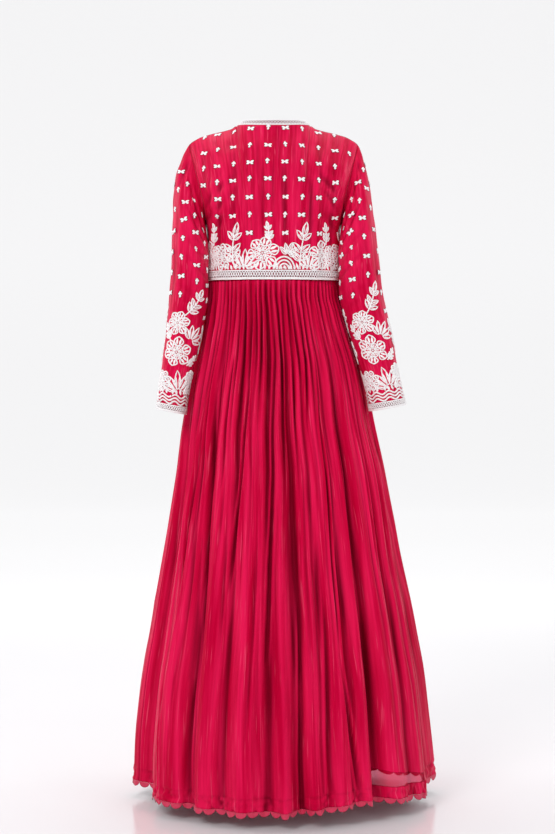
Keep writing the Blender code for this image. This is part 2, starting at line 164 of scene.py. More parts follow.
# Reading tables and shaping cloth

def table(columns, *rows):
    # rows of numbers with a name for each column
    return [dict(zip(columns.split(), row)) for row in rows]


def readRows(rows, key, column, at):
    # a column's value at a key, on a curve through the rows that never overshoots them
    knots = np.array([row[key] for row in rows])
    values = np.array([row[column] for row in rows])
    if knots[0] > knots[-1]:
        knots = knots[::-1]
        values = values[::-1]
    steps = np.diff(knots)
    slopes = np.diff(values) / steps
    lean = np.zeros(len(knots))
    sameWay = slopes[:-1] * slopes[1:] > 0
    inner = 2 * slopes[:-1] * slopes[1:] / np.where(sameWay, slopes[:-1] + slopes[1:], 1)
    lean[1:-1] = np.where(sameWay, inner, 0)
    lean[0] = slopes[0]
    lean[-1] = slopes[-1]
    at = np.clip(np.asarray(at, float), knots[0], knots[-1])
    index = np.clip(np.searchsorted(knots, at, side="right") - 1, 0, len(steps) - 1)
    share = (at - knots[index]) / steps[index]
    left = values[index] + share * steps[index] * lean[index]
    right = values[index + 1] - (1 - share) * steps[index] * lean[index + 1]
    blend = share * share * (3 - 2 * share)
    return left * (1 - blend) + right * blend


def ramp(value, low, high):
    share = np.clip((value - low) / (high - low), 0, 1)
    return share * share * (3 - 2 * share)


def softNoise(u, v, seed):
    # smooth noise from -1 to 1, where one cell is one unit of u and v
    size = 256
    field = np.random.default_rng(seed).uniform(-1, 1, (size, size))
    u, v = np.broadcast_arrays(np.asarray(u, float), np.asarray(v, float))
    lowU = np.floor(u).astype(int)
    lowV = np.floor(v).astype(int)
    shareU = ramp(u - lowU, 0, 1)
    shareV = ramp(v - lowV, 0, 1)
    near = field[lowU % size, lowV % size] * (1 - shareU) + field[(lowU + 1) % size, lowV % size] * shareU
    far = field[lowU % size, (lowV + 1) % size] * (1 - shareU)
    far = far + field[(lowU + 1) % size, (lowV + 1) % size] * shareU
    return near * (1 - shareV) + far * shareV


def creaseField(u, v, creases):
    # soft troughs with a ridge on each side, from (u, v) to (toU, toV), each with its width, depth and bend
    total = np.zeros(np.broadcast(u, v).shape)
    for crease in creases:
        runU = crease["toU"] - crease["u"]
        runV = crease["toV"] - crease["v"]
        length = math.hypot(runU, runV)
        along = ((u - crease["u"]) * runU + (v - crease["v"]) * runV) / length**2
        bow = crease["bend"] * np.sin(np.pi * np.clip(along, 0, 1))
        apart = ((u - crease["u"]) * runV - (v - crease["v"]) * runU) / length - bow
        fade = np.sin(np.pi * np.clip(along * 0.94 + 0.03, 0, 1)) ** 0.7 * (np.abs(along - 0.5) < 0.53)
        share = np.abs(apart / crease["width"])
        ridge = 0.45 * np.exp(-((share - 1.7) ** 2) * 1.6)
        total = total + crease["depth"] * fade * (np.exp(-(share**2)) - ridge)
    return total


def hollowShade(depth, window, size, closed=False):
    # how far each point lies below its neighbours along a row, from 0 to 1, used as the share of painted shade
    kernel = np.hanning(2 * window + 3)[1:-1]
    kernel /= kernel.sum()
    padded = np.pad(depth, ((0, 0), (window, window)), mode="wrap" if closed else "edge")
    mean = np.stack([np.convolve(row, kernel, mode="valid") for row in padded])
    return np.clip((mean - depth) / size, 0, 1)


def gridNormals(grid, closed):
    up = np.gradient(grid, axis=0)
    if closed:
        along = np.roll(grid, -1, axis=1) - np.roll(grid, 1, axis=1)
    else:
        along = np.gradient(grid, axis=1)
    cross = np.cross(along, up)
    return cross / np.maximum(np.linalg.norm(cross, axis=2, keepdims=True), 1e-9)


def runLength(points):
    # distance along a row of points
    return np.concatenate([[0], np.cumsum(np.linalg.norm(np.diff(points, axis=0), axis=1))])


def pairs(first, second):
    # two coordinates as one array of pairs
    return np.stack(np.broadcast_arrays(first, second), axis=-1)


def aim(angle):
    # a direction in the flat and the one square to it
    direction = np.array([math.cos(angle), math.sin(angle)])
    return direction, np.array([-direction[1], direction[0]])


def around(s, h, reach, angle):
    return s + reach * math.cos(angle), h + reach * math.sin(angle)


# Making meshes and handing them over

def newObject(name, data):
    thing = bpy.data.objects.new(name, data)
    bpy.context.scene.collection.objects.link(thing)
    return thing


def meshOf(name, points, faces, uvs):
    # uvs hold one cloth coordinate, in metres, for each point
    mesh = bpy.data.meshes.new(name)
    mesh.from_pydata(np.asarray(points, float).reshape(-1, 3).tolist(), [], faces)
    corners = np.zeros(len(mesh.loops), int)
    mesh.loops.foreach_get("vertex_index", corners)
    layer = mesh.uv_layers.new(name="cloth")
    layer.data.foreach_set("uv", np.asarray(uvs, np.float32).reshape(-1, 2)[corners].ravel())
    mesh.shade_smooth()
    return mesh


def gridMesh(name, grid, uv, closed=False, hollow=None):
    # a sheet of quads through a grid of points, with an attribute for the painted shade at the bottoms of its folds
    if closed:
        uv = np.concatenate([uv, 2 * uv[:, -1:] - uv[:, -2:-1]], axis=1)
    rows, columns = grid.shape[:2]
    steps = np.arange(columns if closed else columns - 1)
    row, column = np.meshgrid(np.arange(rows - 1), steps, indexing="ij")
    beside = (column + 1) % columns
    corners = [row * columns + column, row * columns + beside]
    corners += [(row + 1) * columns + beside, (row + 1) * columns + column]
    mesh = bpy.data.meshes.new(name)
    mesh.from_pydata(grid.reshape(-1, 3).tolist(), [], np.stack(corners, axis=-1).reshape(-1, 4).tolist())
    places = [uv[row, column], uv[row, column + 1], uv[row + 1, column + 1], uv[row + 1, column]]
    layer = mesh.uv_layers.new(name="cloth")
    layer.data.foreach_set("uv", np.stack(places, axis=-2).astype(np.float32).ravel())
    if hollow is not None:
        values = mesh.attributes.new("hollow", "FLOAT", "POINT").data
        values.foreach_set("value", hollow.astype(np.float32).ravel())
    mesh.shade_smooth()
    return mesh


def clothPiece(mesh, thickness, slotName, finish, nodes, sheet):
    # a cloth shell that rides on the body and stands for its solids
    thing = newObject(mesh.name, mesh)
    modifier = thing.modifiers.new("clothThickness", "SOLIDIFY")
    modifier.thickness = thickness
    modifier.offset = -1
    place(thing, slotName, finish)
    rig.replaces(thing, *nodes)
    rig.sheet(thing, **sheet)
    return thing


def place(thing, slotName, finish=None):
    if finish is not None:
        thing.data.materials.clear()
        thing.data.materials.append(finish)
    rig.ride(thing, "root")
    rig.slot(thing, slotName)


# Shader kit

class Value:
    def __init__(self, kit, socket):
        self.kit = kit
        self.socket = socket

    def maths(self, operation, first, second):
        return self.kit.make("ShaderNodeMath", {"operation": operation}, {0: first, 1: second})

    def __add__(self, other):
        return self.maths("ADD", self, other)

    def __radd__(self, other):
        return self.maths("ADD", other, self)

    def __sub__(self, other):
        return self.maths("SUBTRACT", self, other)

    def __rsub__(self, other):
        return self.maths("SUBTRACT", other, self)

    def __mul__(self, other):
        return self.maths("MULTIPLY", self, other)

    def __rmul__(self, other):
        return self.maths("MULTIPLY", other, self)


class Finish:
    def __init__(self, name):
        self.material = bpy.data.materials.new(name)
        self.material.use_nodes = True
        self.tree = self.material.node_tree
        self.tree.nodes.clear()
        self.surface = self.tree.nodes.new("ShaderNodeBsdfPrincipled")
        self.output = self.tree.nodes.new("ShaderNodeOutputMaterial")
        self.tree.links.new(self.surface.outputs[0], self.output.inputs["Surface"])
        self.cloth = self.make("ShaderNodeUVMap", {"uv_map": "cloth"}, {})

    def feed(self, socket, value):
        if isinstance(value, Value):
            self.tree.links.new(value.socket, socket)
        else:
            socket.default_value = value

    def make(self, kind, settings, sockets, output=0):
        node = self.tree.nodes.new(kind)
        for key, setting in settings.items():
            setattr(node, key, setting)
        for key, value in sockets.items():
            self.feed(node.inputs[key], value)
        return Value(self, node.outputs[output])

    def axes(self):
        node = self.make("ShaderNodeSeparateXYZ", {}, {0: self.cloth}).socket.node
        return Value(self, node.outputs[0]), Value(self, node.outputs[1])

    def scaled(self, across, down, shift=0.0):
        sockets = {0: self.cloth, 1: (shift, shift, 0), 3: (across, down, 1)}
        return self.make("ShaderNodeMapping", {}, sockets)

    def noise(self, across, down, shift=0.0, detail=2.0):
        # soft noise with so many cells a metre across and down the cloth
        sockets = {"Vector": self.scaled(across, down, shift), "Scale": 1.0, "Detail": detail}
        return self.make("ShaderNodeTexNoise", {}, sockets)

    def threads(self, across, down, direction):
        sockets = {"Vector": self.scaled(across, down), "Scale": 1 / math.pi}
        return self.make("ShaderNodeTexWave", {"bands_direction": direction}, sockets, output=1)

    def blend(self, share, first, second):
        return self.make("ShaderNodeMix", {"data_type": "RGBA"}, {0: share, 6: first, 7: second}, output=2)

    def between(self, value, low, high):
        sockets = {"Value": value, "From Min": low, "From Max": high}
        return self.make("ShaderNodeMapRange", {"interpolation_type": "SMOOTHSTEP"}, sockets)

    def bump(self, height, strength=0.9):
        return self.make("ShaderNodeBump", {}, {"Height": height, "Distance": 1.0, "Strength": strength})

    def attribute(self, name):
        return self.make("ShaderNodeAttribute", {"attribute_name": name}, {}, output=2)

    def set(self, sockets):
        for key, value in sockets.items():
            self.feed(self.surface.inputs[key], value)


silkLook = {
    # the first two colours are a lit and a shaded copy of the silk's crimson: painted light and shade
    "light": (0.76, 0.009, 0.078, 1),
    "deep": (0.51, 0.000, 0.032, 1),
    # colour of the painted shade at the bottoms of the folds
    "hollow": (0.13, 0.000, 0.006, 1),
    "glint": (0.86, 0.090, 0.190, 1),
    "specularTint": (1.0, 0.11, 0.27, 1),
    "sheenTint": (1.0, 0.10, 0.26, 1),
    "threadsPerMetre": 1100.0,
    "weaveHeight": 0.000015,
    "slub": (1400.0, 60.0, 3.1),
    "slubHeight": 0.00004,
    "litRange": (0.36, 0.64),
    "glintRange": (0.60, 0.72),
}


def silk(name, crinkle, part=None):
    # crimson silk with crinkle lines that run down the cloth, slubs, a fine weave and a soft sheen; its colour carries
    # painted light and shade from a lit and a shaded crimson, painted highlight streaks and painted shade at the fold
    # bottoms
    look = silkLook
    finish = Finish(name)
    across, down, fine = crinkle["across"], crinkle["down"], crinkle["fine"]
    lines = finish.noise(across, down, detail=3.0)
    broad = finish.noise(across * 0.22, down * 0.5, 7.3)
    slub = finish.noise(*look["slub"])
    pitch = look["threadsPerMetre"]
    weave = finish.threads(pitch, 0.0, "X") + finish.threads(0.0, pitch, "Y")
    # painted light and shade: the lit crimson on the raised crinkle lines of the bump and in broad random patches, the
    # shaded crimson between them
    litShare = finish.between(lines * fine + broad * (1 - fine), *look["litRange"])
    colour = finish.blend(litShare, look["deep"], look["light"])
    streak = finish.noise(across * 1.6, down * 1.5, 11.0)
    glint = finish.between(streak, *look["glintRange"]) * crinkle["glint"]
    colour = finish.blend(glint, colour, look["glint"])
    # painted shade: darker towards the fold bottoms, by the per-point attribute
    colour = finish.blend(finish.attribute("hollow") * crinkle["shade"], colour, look["hollow"])
    height = lines * crinkle["height"] + slub * look["slubHeight"] + weave * look["weaveHeight"]
    finish.set(
        {
            "Base Color": colour,
            "Roughness": 0.52 - 0.12 * litShare,
            "Specular IOR Level": crinkle["lustre"],
            "Specular Tint": look["specularTint"],
            "Sheen Weight": 0.10,
            "Sheen Roughness": 0.35,
            "Sheen Tint": look["sheenTint"],
            "Normal": finish.bump(height),
        }
    )
    if part:
        showThrough(finish, part)
    return finish.material


def showThrough(finish, part):
    # one layer of silk alone, between the lining's slanting edge and the facing
    across, down = finish.axes()
    edge = down - part["slope"] * across
    first, last, upper, lower = part["blur"]
    mask = finish.between(across, part["from"], part["from"] + first)
    mask = mask * finish.between(across, part["to"], part["to"] - last)
    mask = mask * finish.between(edge, part["top"], part["top"] - upper)
    mask = mask * finish.between(down, part["bottom"], part["bottom"] + lower)
    clear = finish.make("ShaderNodeBsdfTransparent", {}, {0: part["tint"]})
    surface = Value(finish, finish.surface.outputs[0])
    mixed = finish.make("ShaderNodeMixShader", {}, {0: mask * part["clear"], 1: surface, 2: clear})
    finish.tree.links.new(mixed.socket, finish.output.inputs["Surface"])


def threadFinish(name, colour, shade):
    # satin stitch: fine threads side by side, with small shaded gaps
    finish = Finish(name)
    stitches = finish.noise(2600.0, 500.0, detail=1.0)
    grain = finish.noise(800.0, 800.0, 5.0)
    gaps = finish.between(grain, 0.57, 0.70)
    finish.set(
        {
            "Base Color": finish.blend(gaps * 0.5, colour, shade),
            "Roughness": 0.60,
            "Specular IOR Level": 0.35,
            "Sheen Weight": 0.1,
            "Normal": finish.bump(stitches * 0.0003 + grain * 0.0003),
        }
    )
    return finish.material


def plainFinish(name, colour, rough):
    finish = Finish(name)
    grain = finish.noise(650.0, 650.0)
    deeper = tuple(channel * 0.72 for channel in colour[:3]) + (1,)
    mottled = finish.blend(finish.between(grain, 0.35, 0.65), deeper, colour)
    normal = finish.bump(grain * 0.0001)
    finish.set({"Base Color": mottled, "Roughness": rough, "Sheen Weight": 0.1, "Normal": normal})
    return finish.material


# Bodice: back and front panels with vertical crinkles and drag folds from the underarms

bodice = {
    "waistZ": -0.3385,
    "underarmZ": -0.205,
    "neckShare": 0.431,
    "torsoSquare": 0.88,
    "shoulderY": -0.006,
    "neckColumns": 42,
    "shoulderColumns": 48,
    "lowRows": 40,
    "highRows": 44,
    "thickness": 0.0008,
    "torso": table(
        "z side back front",
        (-0.3385, 0.1420, 0.1020, 0.1120),
        (-0.2950, 0.1405, 0.1025, 0.1170),
        (-0.2400, 0.1418, 0.1060, 0.1200),
        (-0.2050, 0.1480, 0.1085, 0.1170),
    ),
    "armhole": table(
        "rise side back front nape chest",
        (0.00, 0.1480, 0.000, 0.000, 0.1085, 0.1170),
        (0.04, 0.1475, 0.017, 0.016, 0.1088, 0.1165),
        (0.14, 0.1490, 0.032, 0.028, 0.1090, 0.1150),
        (0.30, 0.1540, 0.043, 0.036, 0.1085, 0.1120),
        (0.50, 0.1620, 0.047, 0.039, 0.1040, 0.1060),
        (0.70, 0.1700, 0.039, 0.035, 0.0930, 0.0980),
        (0.88, 0.1780, 0.019, 0.023, 0.0730, 0.0890),
        (1.00, 0.1820, -0.006, 0.006, 0.0540, 0.0820),
    ),
    "shoulder": table(
        "share back front",
        (0.000, -0.0080, -0.0680),
        (0.150, -0.0075, -0.0640),
        (0.300, -0.0055, -0.0460),
        (0.400, -0.0040, -0.0190),
        (0.431, -0.0035, -0.0035),
        (0.495, -0.0100, -0.0100),
        (0.780, -0.0235, -0.0235),
        (0.948, -0.0365, -0.0365),
        (1.000, -0.0440, -0.0440),
    ),
    "ridgeDepth": 0.0026,
    "ridgeCell": (0.0115, 0.16),
    "crinkleDepth": 0.0014,
    "crinkleCell": (0.0056, 0.07),
    "pullDepth": 0.0010,
    "pullCell": (0.045, 0.05),
    "fullShadeDepth": 0.0022,
    # folds in x and z
    "creases": table(
        "u v toU toV width depth bend",
        (0.147, -0.180, 0.080, -0.120, 0.008, 0.0026, 0.006),
        (0.146, -0.215, 0.095, -0.165, 0.007, 0.0022, 0.004),
        (0.143, -0.245, 0.100, -0.205, 0.009, 0.0020, 0.004),
        (-0.147, -0.175, -0.085, -0.110, 0.008, 0.0028, -0.007),
        (-0.146, -0.205, -0.100, -0.140, 0.006, 0.0024, -0.004),
        (-0.143, -0.240, -0.105, -0.200, 0.009, 0.0022, -0.004),
        (0.118, -0.060, 0.060, -0.045, 0.010, 0.0014, 0.002),
        (-0.120, -0.062, -0.055, -0.048, 0.011, 0.0014, -0.002),
        (-0.066, -0.035, -0.070, -0.140, 0.006, 0.0020, 0.002),
        (-0.094, -0.045, -0.098, -0.120, 0.005, 0.0016, 0.002),
        (0.112, -0.300, 0.118, -0.200, 0.007, 0.0018, 0.003),
        (-0.112, -0.310, -0.116, -0.210, 0.007, 0.0018, -0.003),
    ),
    "crinkle": {
        "across": 190.0,
        "down": 9.0,
        "height": 0.0013,
        "shade": 0.70,
        "fine": 0.5,
        "glint": 0.45,
        "lustre": 0.22,
    },
    "sheet": {"flat": (0.44, 0.42), "held": "stretched", "area": 0.121},
}


def bodicePanel(side):
    b = bodice
    facing = 1 if side == "back" else -1
    centreLine = "nape" if side == "back" else "chest"
    toNeck = b["neckShare"] * np.sin(np.linspace(0, math.pi / 2, b["neckColumns"] + 1))
    beyond = np.sin(np.linspace(0, math.pi / 2, b["shoulderColumns"] + 1))[1:]
    shares = np.concatenate([toNeck, b["neckShare"] + (1 - b["neckShare"]) * beyond])
    share = np.concatenate([shares[::-1], shares[1:]])
    sign = np.concatenate([np.ones(len(shares)), -np.ones(len(shares) - 1)]) * facing
    bulge = np.power(np.clip(1 - share**2, 0, 1), b["torsoSquare"] / 2)
    rows = []
    for z in np.linspace(b["waistZ"], b["underarmZ"], b["lowRows"] + 1)[:-1]:
        x = readRows(b["torso"], "z", "side", z) * share * sign
        y = facing * readRows(b["torso"], "z", side, z) * bulge
        rows.append(np.stack([x, y, np.full_like(x, z)], axis=1))
    topZ = readRows(b["shoulder"], "share", side, share)
    ring = np.clip(share / b["neckShare"], 0, 1)
    neck = readRows(b["armhole"], "rise", centreLine, 1.0)
    topY = b["shoulderY"] + (facing * neck - b["shoulderY"]) * np.sqrt(1 - ring**2)
    for rise in np.sin(np.linspace(0, math.pi / 2, b["highRows"] + 1)):
        edgeX = readRows(b["armhole"], "rise", "side", rise)
        edgeY = facing * readRows(b["armhole"], "rise", side, rise)
        centreY = facing * readRows(b["armhole"], "rise", centreLine, rise)
        over = 1 - math.sqrt(max(0.0, 1 - rise**2))
        bodyY = edgeY + (centreY - edgeY) * bulge
        z = b["underarmZ"] + (topZ - b["underarmZ"]) * rise
        rows.append(np.stack([edgeX * share * sign, bodyY * (1 - over) + topY * over, z], axis=1))
    return np.array(rows)


def bodiceDepth(plain, side):
    # ridges, crinkles and folds, calm along the seams
    b = bodice
    x, z = plain[..., 0], plain[..., 2]
    row = np.arange(x.shape[0])[:, None]
    column = np.arange(x.shape[1])[None, :]
    calm = ramp(column, 0, 10) * ramp(x.shape[1] - 1 - column, 0, 10)
    calm = calm * ramp(row, 0, 4) * ramp(x.shape[0] - 1 - row, 0, 8)
    seed = 11 if side == "back" else 23
    strength = 0.30 + 0.70 * ramp(-z, 0.02, 0.11)

    def noise(kind, step):
        across, down = b[kind + "Cell"]
        return softNoise(x / across + 40, z / down + 9, seed + step)

    ridges = noise("ridge", 0) * b["ridgeDepth"]
    crinkle = (0.5 - np.abs(noise("crinkle", 1))) * b["crinkleDepth"]
    pull = noise("pull", 2) * b["pullDepth"]
    return ((ridges + crinkle) * strength + pull - creaseField(x, z, b["creases"])) * calm


def makeBodice():
    b = bodice
    finish = silk("silkBodice", b["crinkle"])
    panels = {}
    for side in ("back", "front"):
        plain = bodicePanel(side)
        depth = bodiceDepth(plain, side)
        panel = plain + gridNormals(plain, False) * depth[..., None]
        steps = np.linalg.norm(np.diff(plain, axis=1), axis=2).mean(axis=0)
        across = np.concatenate([[0], np.cumsum(steps)])
        up = runLength(plain[:, plain.shape[1] // 2])
        uv = pairs(across[None, :], up[:, None])
        # painted shade where the cloth lies below its neighbours
        hollow = hollowShade(depth, 13, b["fullShadeDepth"])
        mesh = gridMesh("bodice" + side.capitalize(), panel, uv, hollow=hollow)
        clothPiece(mesh, b["thickness"], "silk", finish, ["bodice_" + side], b["sheet"])
        panels[side] = panel
    return panels


# Sleeves: rings from the armhole to the cuff, with drag folds at the underarm and elbow

sleeve = {
    "capShare": 0.24,
    "capCrowding": 1.3,
    "capEasing": 1.5,
    "capRings": 33,
    "rings": 120,
    "seamGap": 0.0003,
    "thickness": 0.0008,
    "left": table(
        "run overX overZ underX underZ deep y",
        (0.00, 0.1820, -0.0440, 0.1480, -0.2050, 0.046, 0.002),
        (0.03, 0.1880, -0.0520, 0.1482, -0.2100, 0.048, 0.002),
        (0.10, 0.2010, -0.0830, 0.1465, -0.2220, 0.051, 0.006),
        (0.20, 0.2110, -0.1350, 0.1430, -0.2450, 0.052, 0.021),
        (0.33, 0.2162, -0.2150, 0.1395, -0.2850, 0.050, 0.036),
        (0.48, 0.2200, -0.3200, 0.1392, -0.3500, 0.047, 0.047),
        (0.62, 0.2268, -0.4145, 0.1500, -0.4300, 0.043, 0.052),
        (0.76, 0.2372, -0.4950, 0.1665, -0.5100, 0.040, 0.052),
        (0.89, 0.2450, -0.5650, 0.1815, -0.5750, 0.038, 0.048),
        (1.00, 0.2506, -0.6130, 0.1890, -0.6260, 0.037, 0.044),
    ),
    "right": table(
        "run overX overZ underX underZ deep y",
        (0.00, 0.1820, -0.0440, 0.1480, -0.2050, 0.046, 0.002),
        (0.03, 0.1870, -0.0520, 0.1482, -0.2100, 0.048, 0.002),
        (0.10, 0.1965, -0.0830, 0.1465, -0.2220, 0.051, 0.006),
        (0.20, 0.2068, -0.1350, 0.1430, -0.2450, 0.052, 0.021),
        (0.33, 0.2180, -0.2150, 0.1395, -0.2850, 0.051, 0.035),
        (0.48, 0.2300, -0.3300, 0.1400, -0.3520, 0.049, 0.044),
        (0.62, 0.2463, -0.4210, 0.1560, -0.4280, 0.045, 0.052),
        (0.76, 0.2605, -0.4950, 0.1790, -0.5050, 0.042, 0.052),
        (0.89, 0.2738, -0.5600, 0.1980, -0.5720, 0.040, 0.048),
        (1.00, 0.2835, -0.6050, 0.2070, -0.6190, 0.039, 0.044),
    ),
    # folds in metres inwards from the middle of the back, and up from the cuff
    "creases": table(
        "u v toU toV width depth bend",
        (0.060, 0.430, -0.030, 0.500, 0.008, 0.0034, 0.006),
        (0.062, 0.385, -0.020, 0.440, 0.007, 0.0030, 0.005),
        (0.060, 0.350, -0.030, 0.375, 0.008, 0.0028, 0.004),
        (0.058, 0.300, -0.012, 0.330, 0.007, 0.0026, 0.005),
        (0.050, 0.255, -0.035, 0.268, 0.006, 0.0022, -0.003),
        (0.045, 0.225, -0.020, 0.240, 0.006, 0.0018, 0.003),
        (-0.010, 0.540, -0.045, 0.420, 0.007, 0.0020, 0.004),
        (-0.040, 0.330, -0.062, 0.215, 0.008, 0.0016, -0.003),
        (0.020, 0.150, -0.030, 0.170, 0.007, 0.0014, 0.002),
        (0.105, 0.400, 0.070, 0.300, 0.009, 0.0024, 0.004),
        (-0.110, 0.460, -0.070, 0.380, 0.009, 0.0020, 0.004),
    ),
    "wrinkles": table("across down depth", (0.035, 0.05, 0.0016), (0.009, 0.06, 0.0008)),
    "fullShadeDepth": 0.0030,
    "crinkle": {
        "across": 120.0,
        "down": 12.0,
        "height": 0.0009,
        "shade": 0.70,
        "fine": 0.5,
        "glint": 0.45,
        "lustre": 0.20,
    },
    "sheet": {"flat": (0.36, 0.60), "held": "hung", "area": 0.137},
}


def sleeveRings(side, panels):
    out = 1 if side == "left" else -1
    rows = sleeve[side]
    low = bodice["lowRows"]
    upBack = panels["back"][low:, 0 if out > 0 else -1]
    upFront = panels["front"][low:, -1 if out > 0 else 0]
    loop = np.concatenate([upBack, upFront[::-1][1:-1]])
    turn = np.linspace(-math.pi / 2, 3 * math.pi / 2, len(loop) + 1)[:-1]

    def ring(run):
        spot = {key: readRows(rows, "run", key, run) for key in rows[0]}
        over = np.array([out * spot["overX"], 0, spot["overZ"]])
        under = np.array([out * spot["underX"], 0, spot["underZ"]])
        deep = np.array([0, spot["deep"], 0])
        middle = (over + under) / 2 + np.array([0, spot["y"], 0])
        return middle + np.outer(np.sin(turn), (over - under) / 2) + np.outer(np.cos(turn), deep)

    steps = np.linspace(0, 1, sleeve["capRings"] + 1)
    apart = loop + np.array([out * sleeve["seamGap"], 0, 0]) - ring(0.0)
    rings = []
    for step in steps[:-1]:
        run = sleeve["capShare"] * step ** sleeve["capCrowding"]
        rings.append(ring(run) + apart * (1 - step) ** sleeve["capEasing"])
    for run in np.linspace(sleeve["capShare"], 1, sleeve["rings"] - sleeve["capRings"]):
        rings.append(ring(run))
    return np.array(rings), turn


def makeSleeves(panels):
    finish = silk("silkSleeve", sleeve["crinkle"])
    grids = {}
    for side, seed in (("left", 31), ("right", 37)):
        out = 1 if side == "left" else -1
        plain, turn = sleeveRings(side, panels)
        down = runLength(plain.mean(axis=1))
        girth = np.linalg.norm(np.roll(plain, -1, axis=1) - plain, axis=2).sum(axis=1).mean()
        inwards = (-turn / (2 * math.pi) * girth + girth / 2) % girth - girth / 2
        u, v = np.broadcast_arrays(inwards[None, :], (down[-1] - down)[:, None])
        calm = ramp(v, 0.0, 0.03) * ramp(down[:, None], 0.0, 0.03)
        seam = np.abs(np.cos(turn[None, :] / 2 - math.pi / 4))
        wrinkles = sum(
            softNoise(u / row["across"] + 40, v / row["down"] + 9, seed + step) * row["depth"]
            for step, row in enumerate(sleeve["wrinkles"])
        )
        depth = (wrinkles * seam - creaseField(u, v, sleeve["creases"])) * calm
        grid = plain + gridNormals(plain, True) * out * depth[..., None]
        # painted shade where the cloth lies below its neighbours
        hollow = hollowShade(depth, 8, sleeve["fullShadeDepth"], closed=True)
        uv = pairs((turn / (2 * math.pi) * girth)[None, :], v)
        order = slice(None) if side == "left" else slice(None, None, -1)
        mesh = gridMesh("sleeve" + side.capitalize(), grid[:, order], uv[:, order], True, hollow[:, order])
        clothPiece(mesh, sleeve["thickness"], "silk_sleeve", finish, ["sleeve_" + side], sleeve["sheet"])
        grids[side] = grid
    return grids


# Skirt: gathered at the waist, with large folds towards the hem

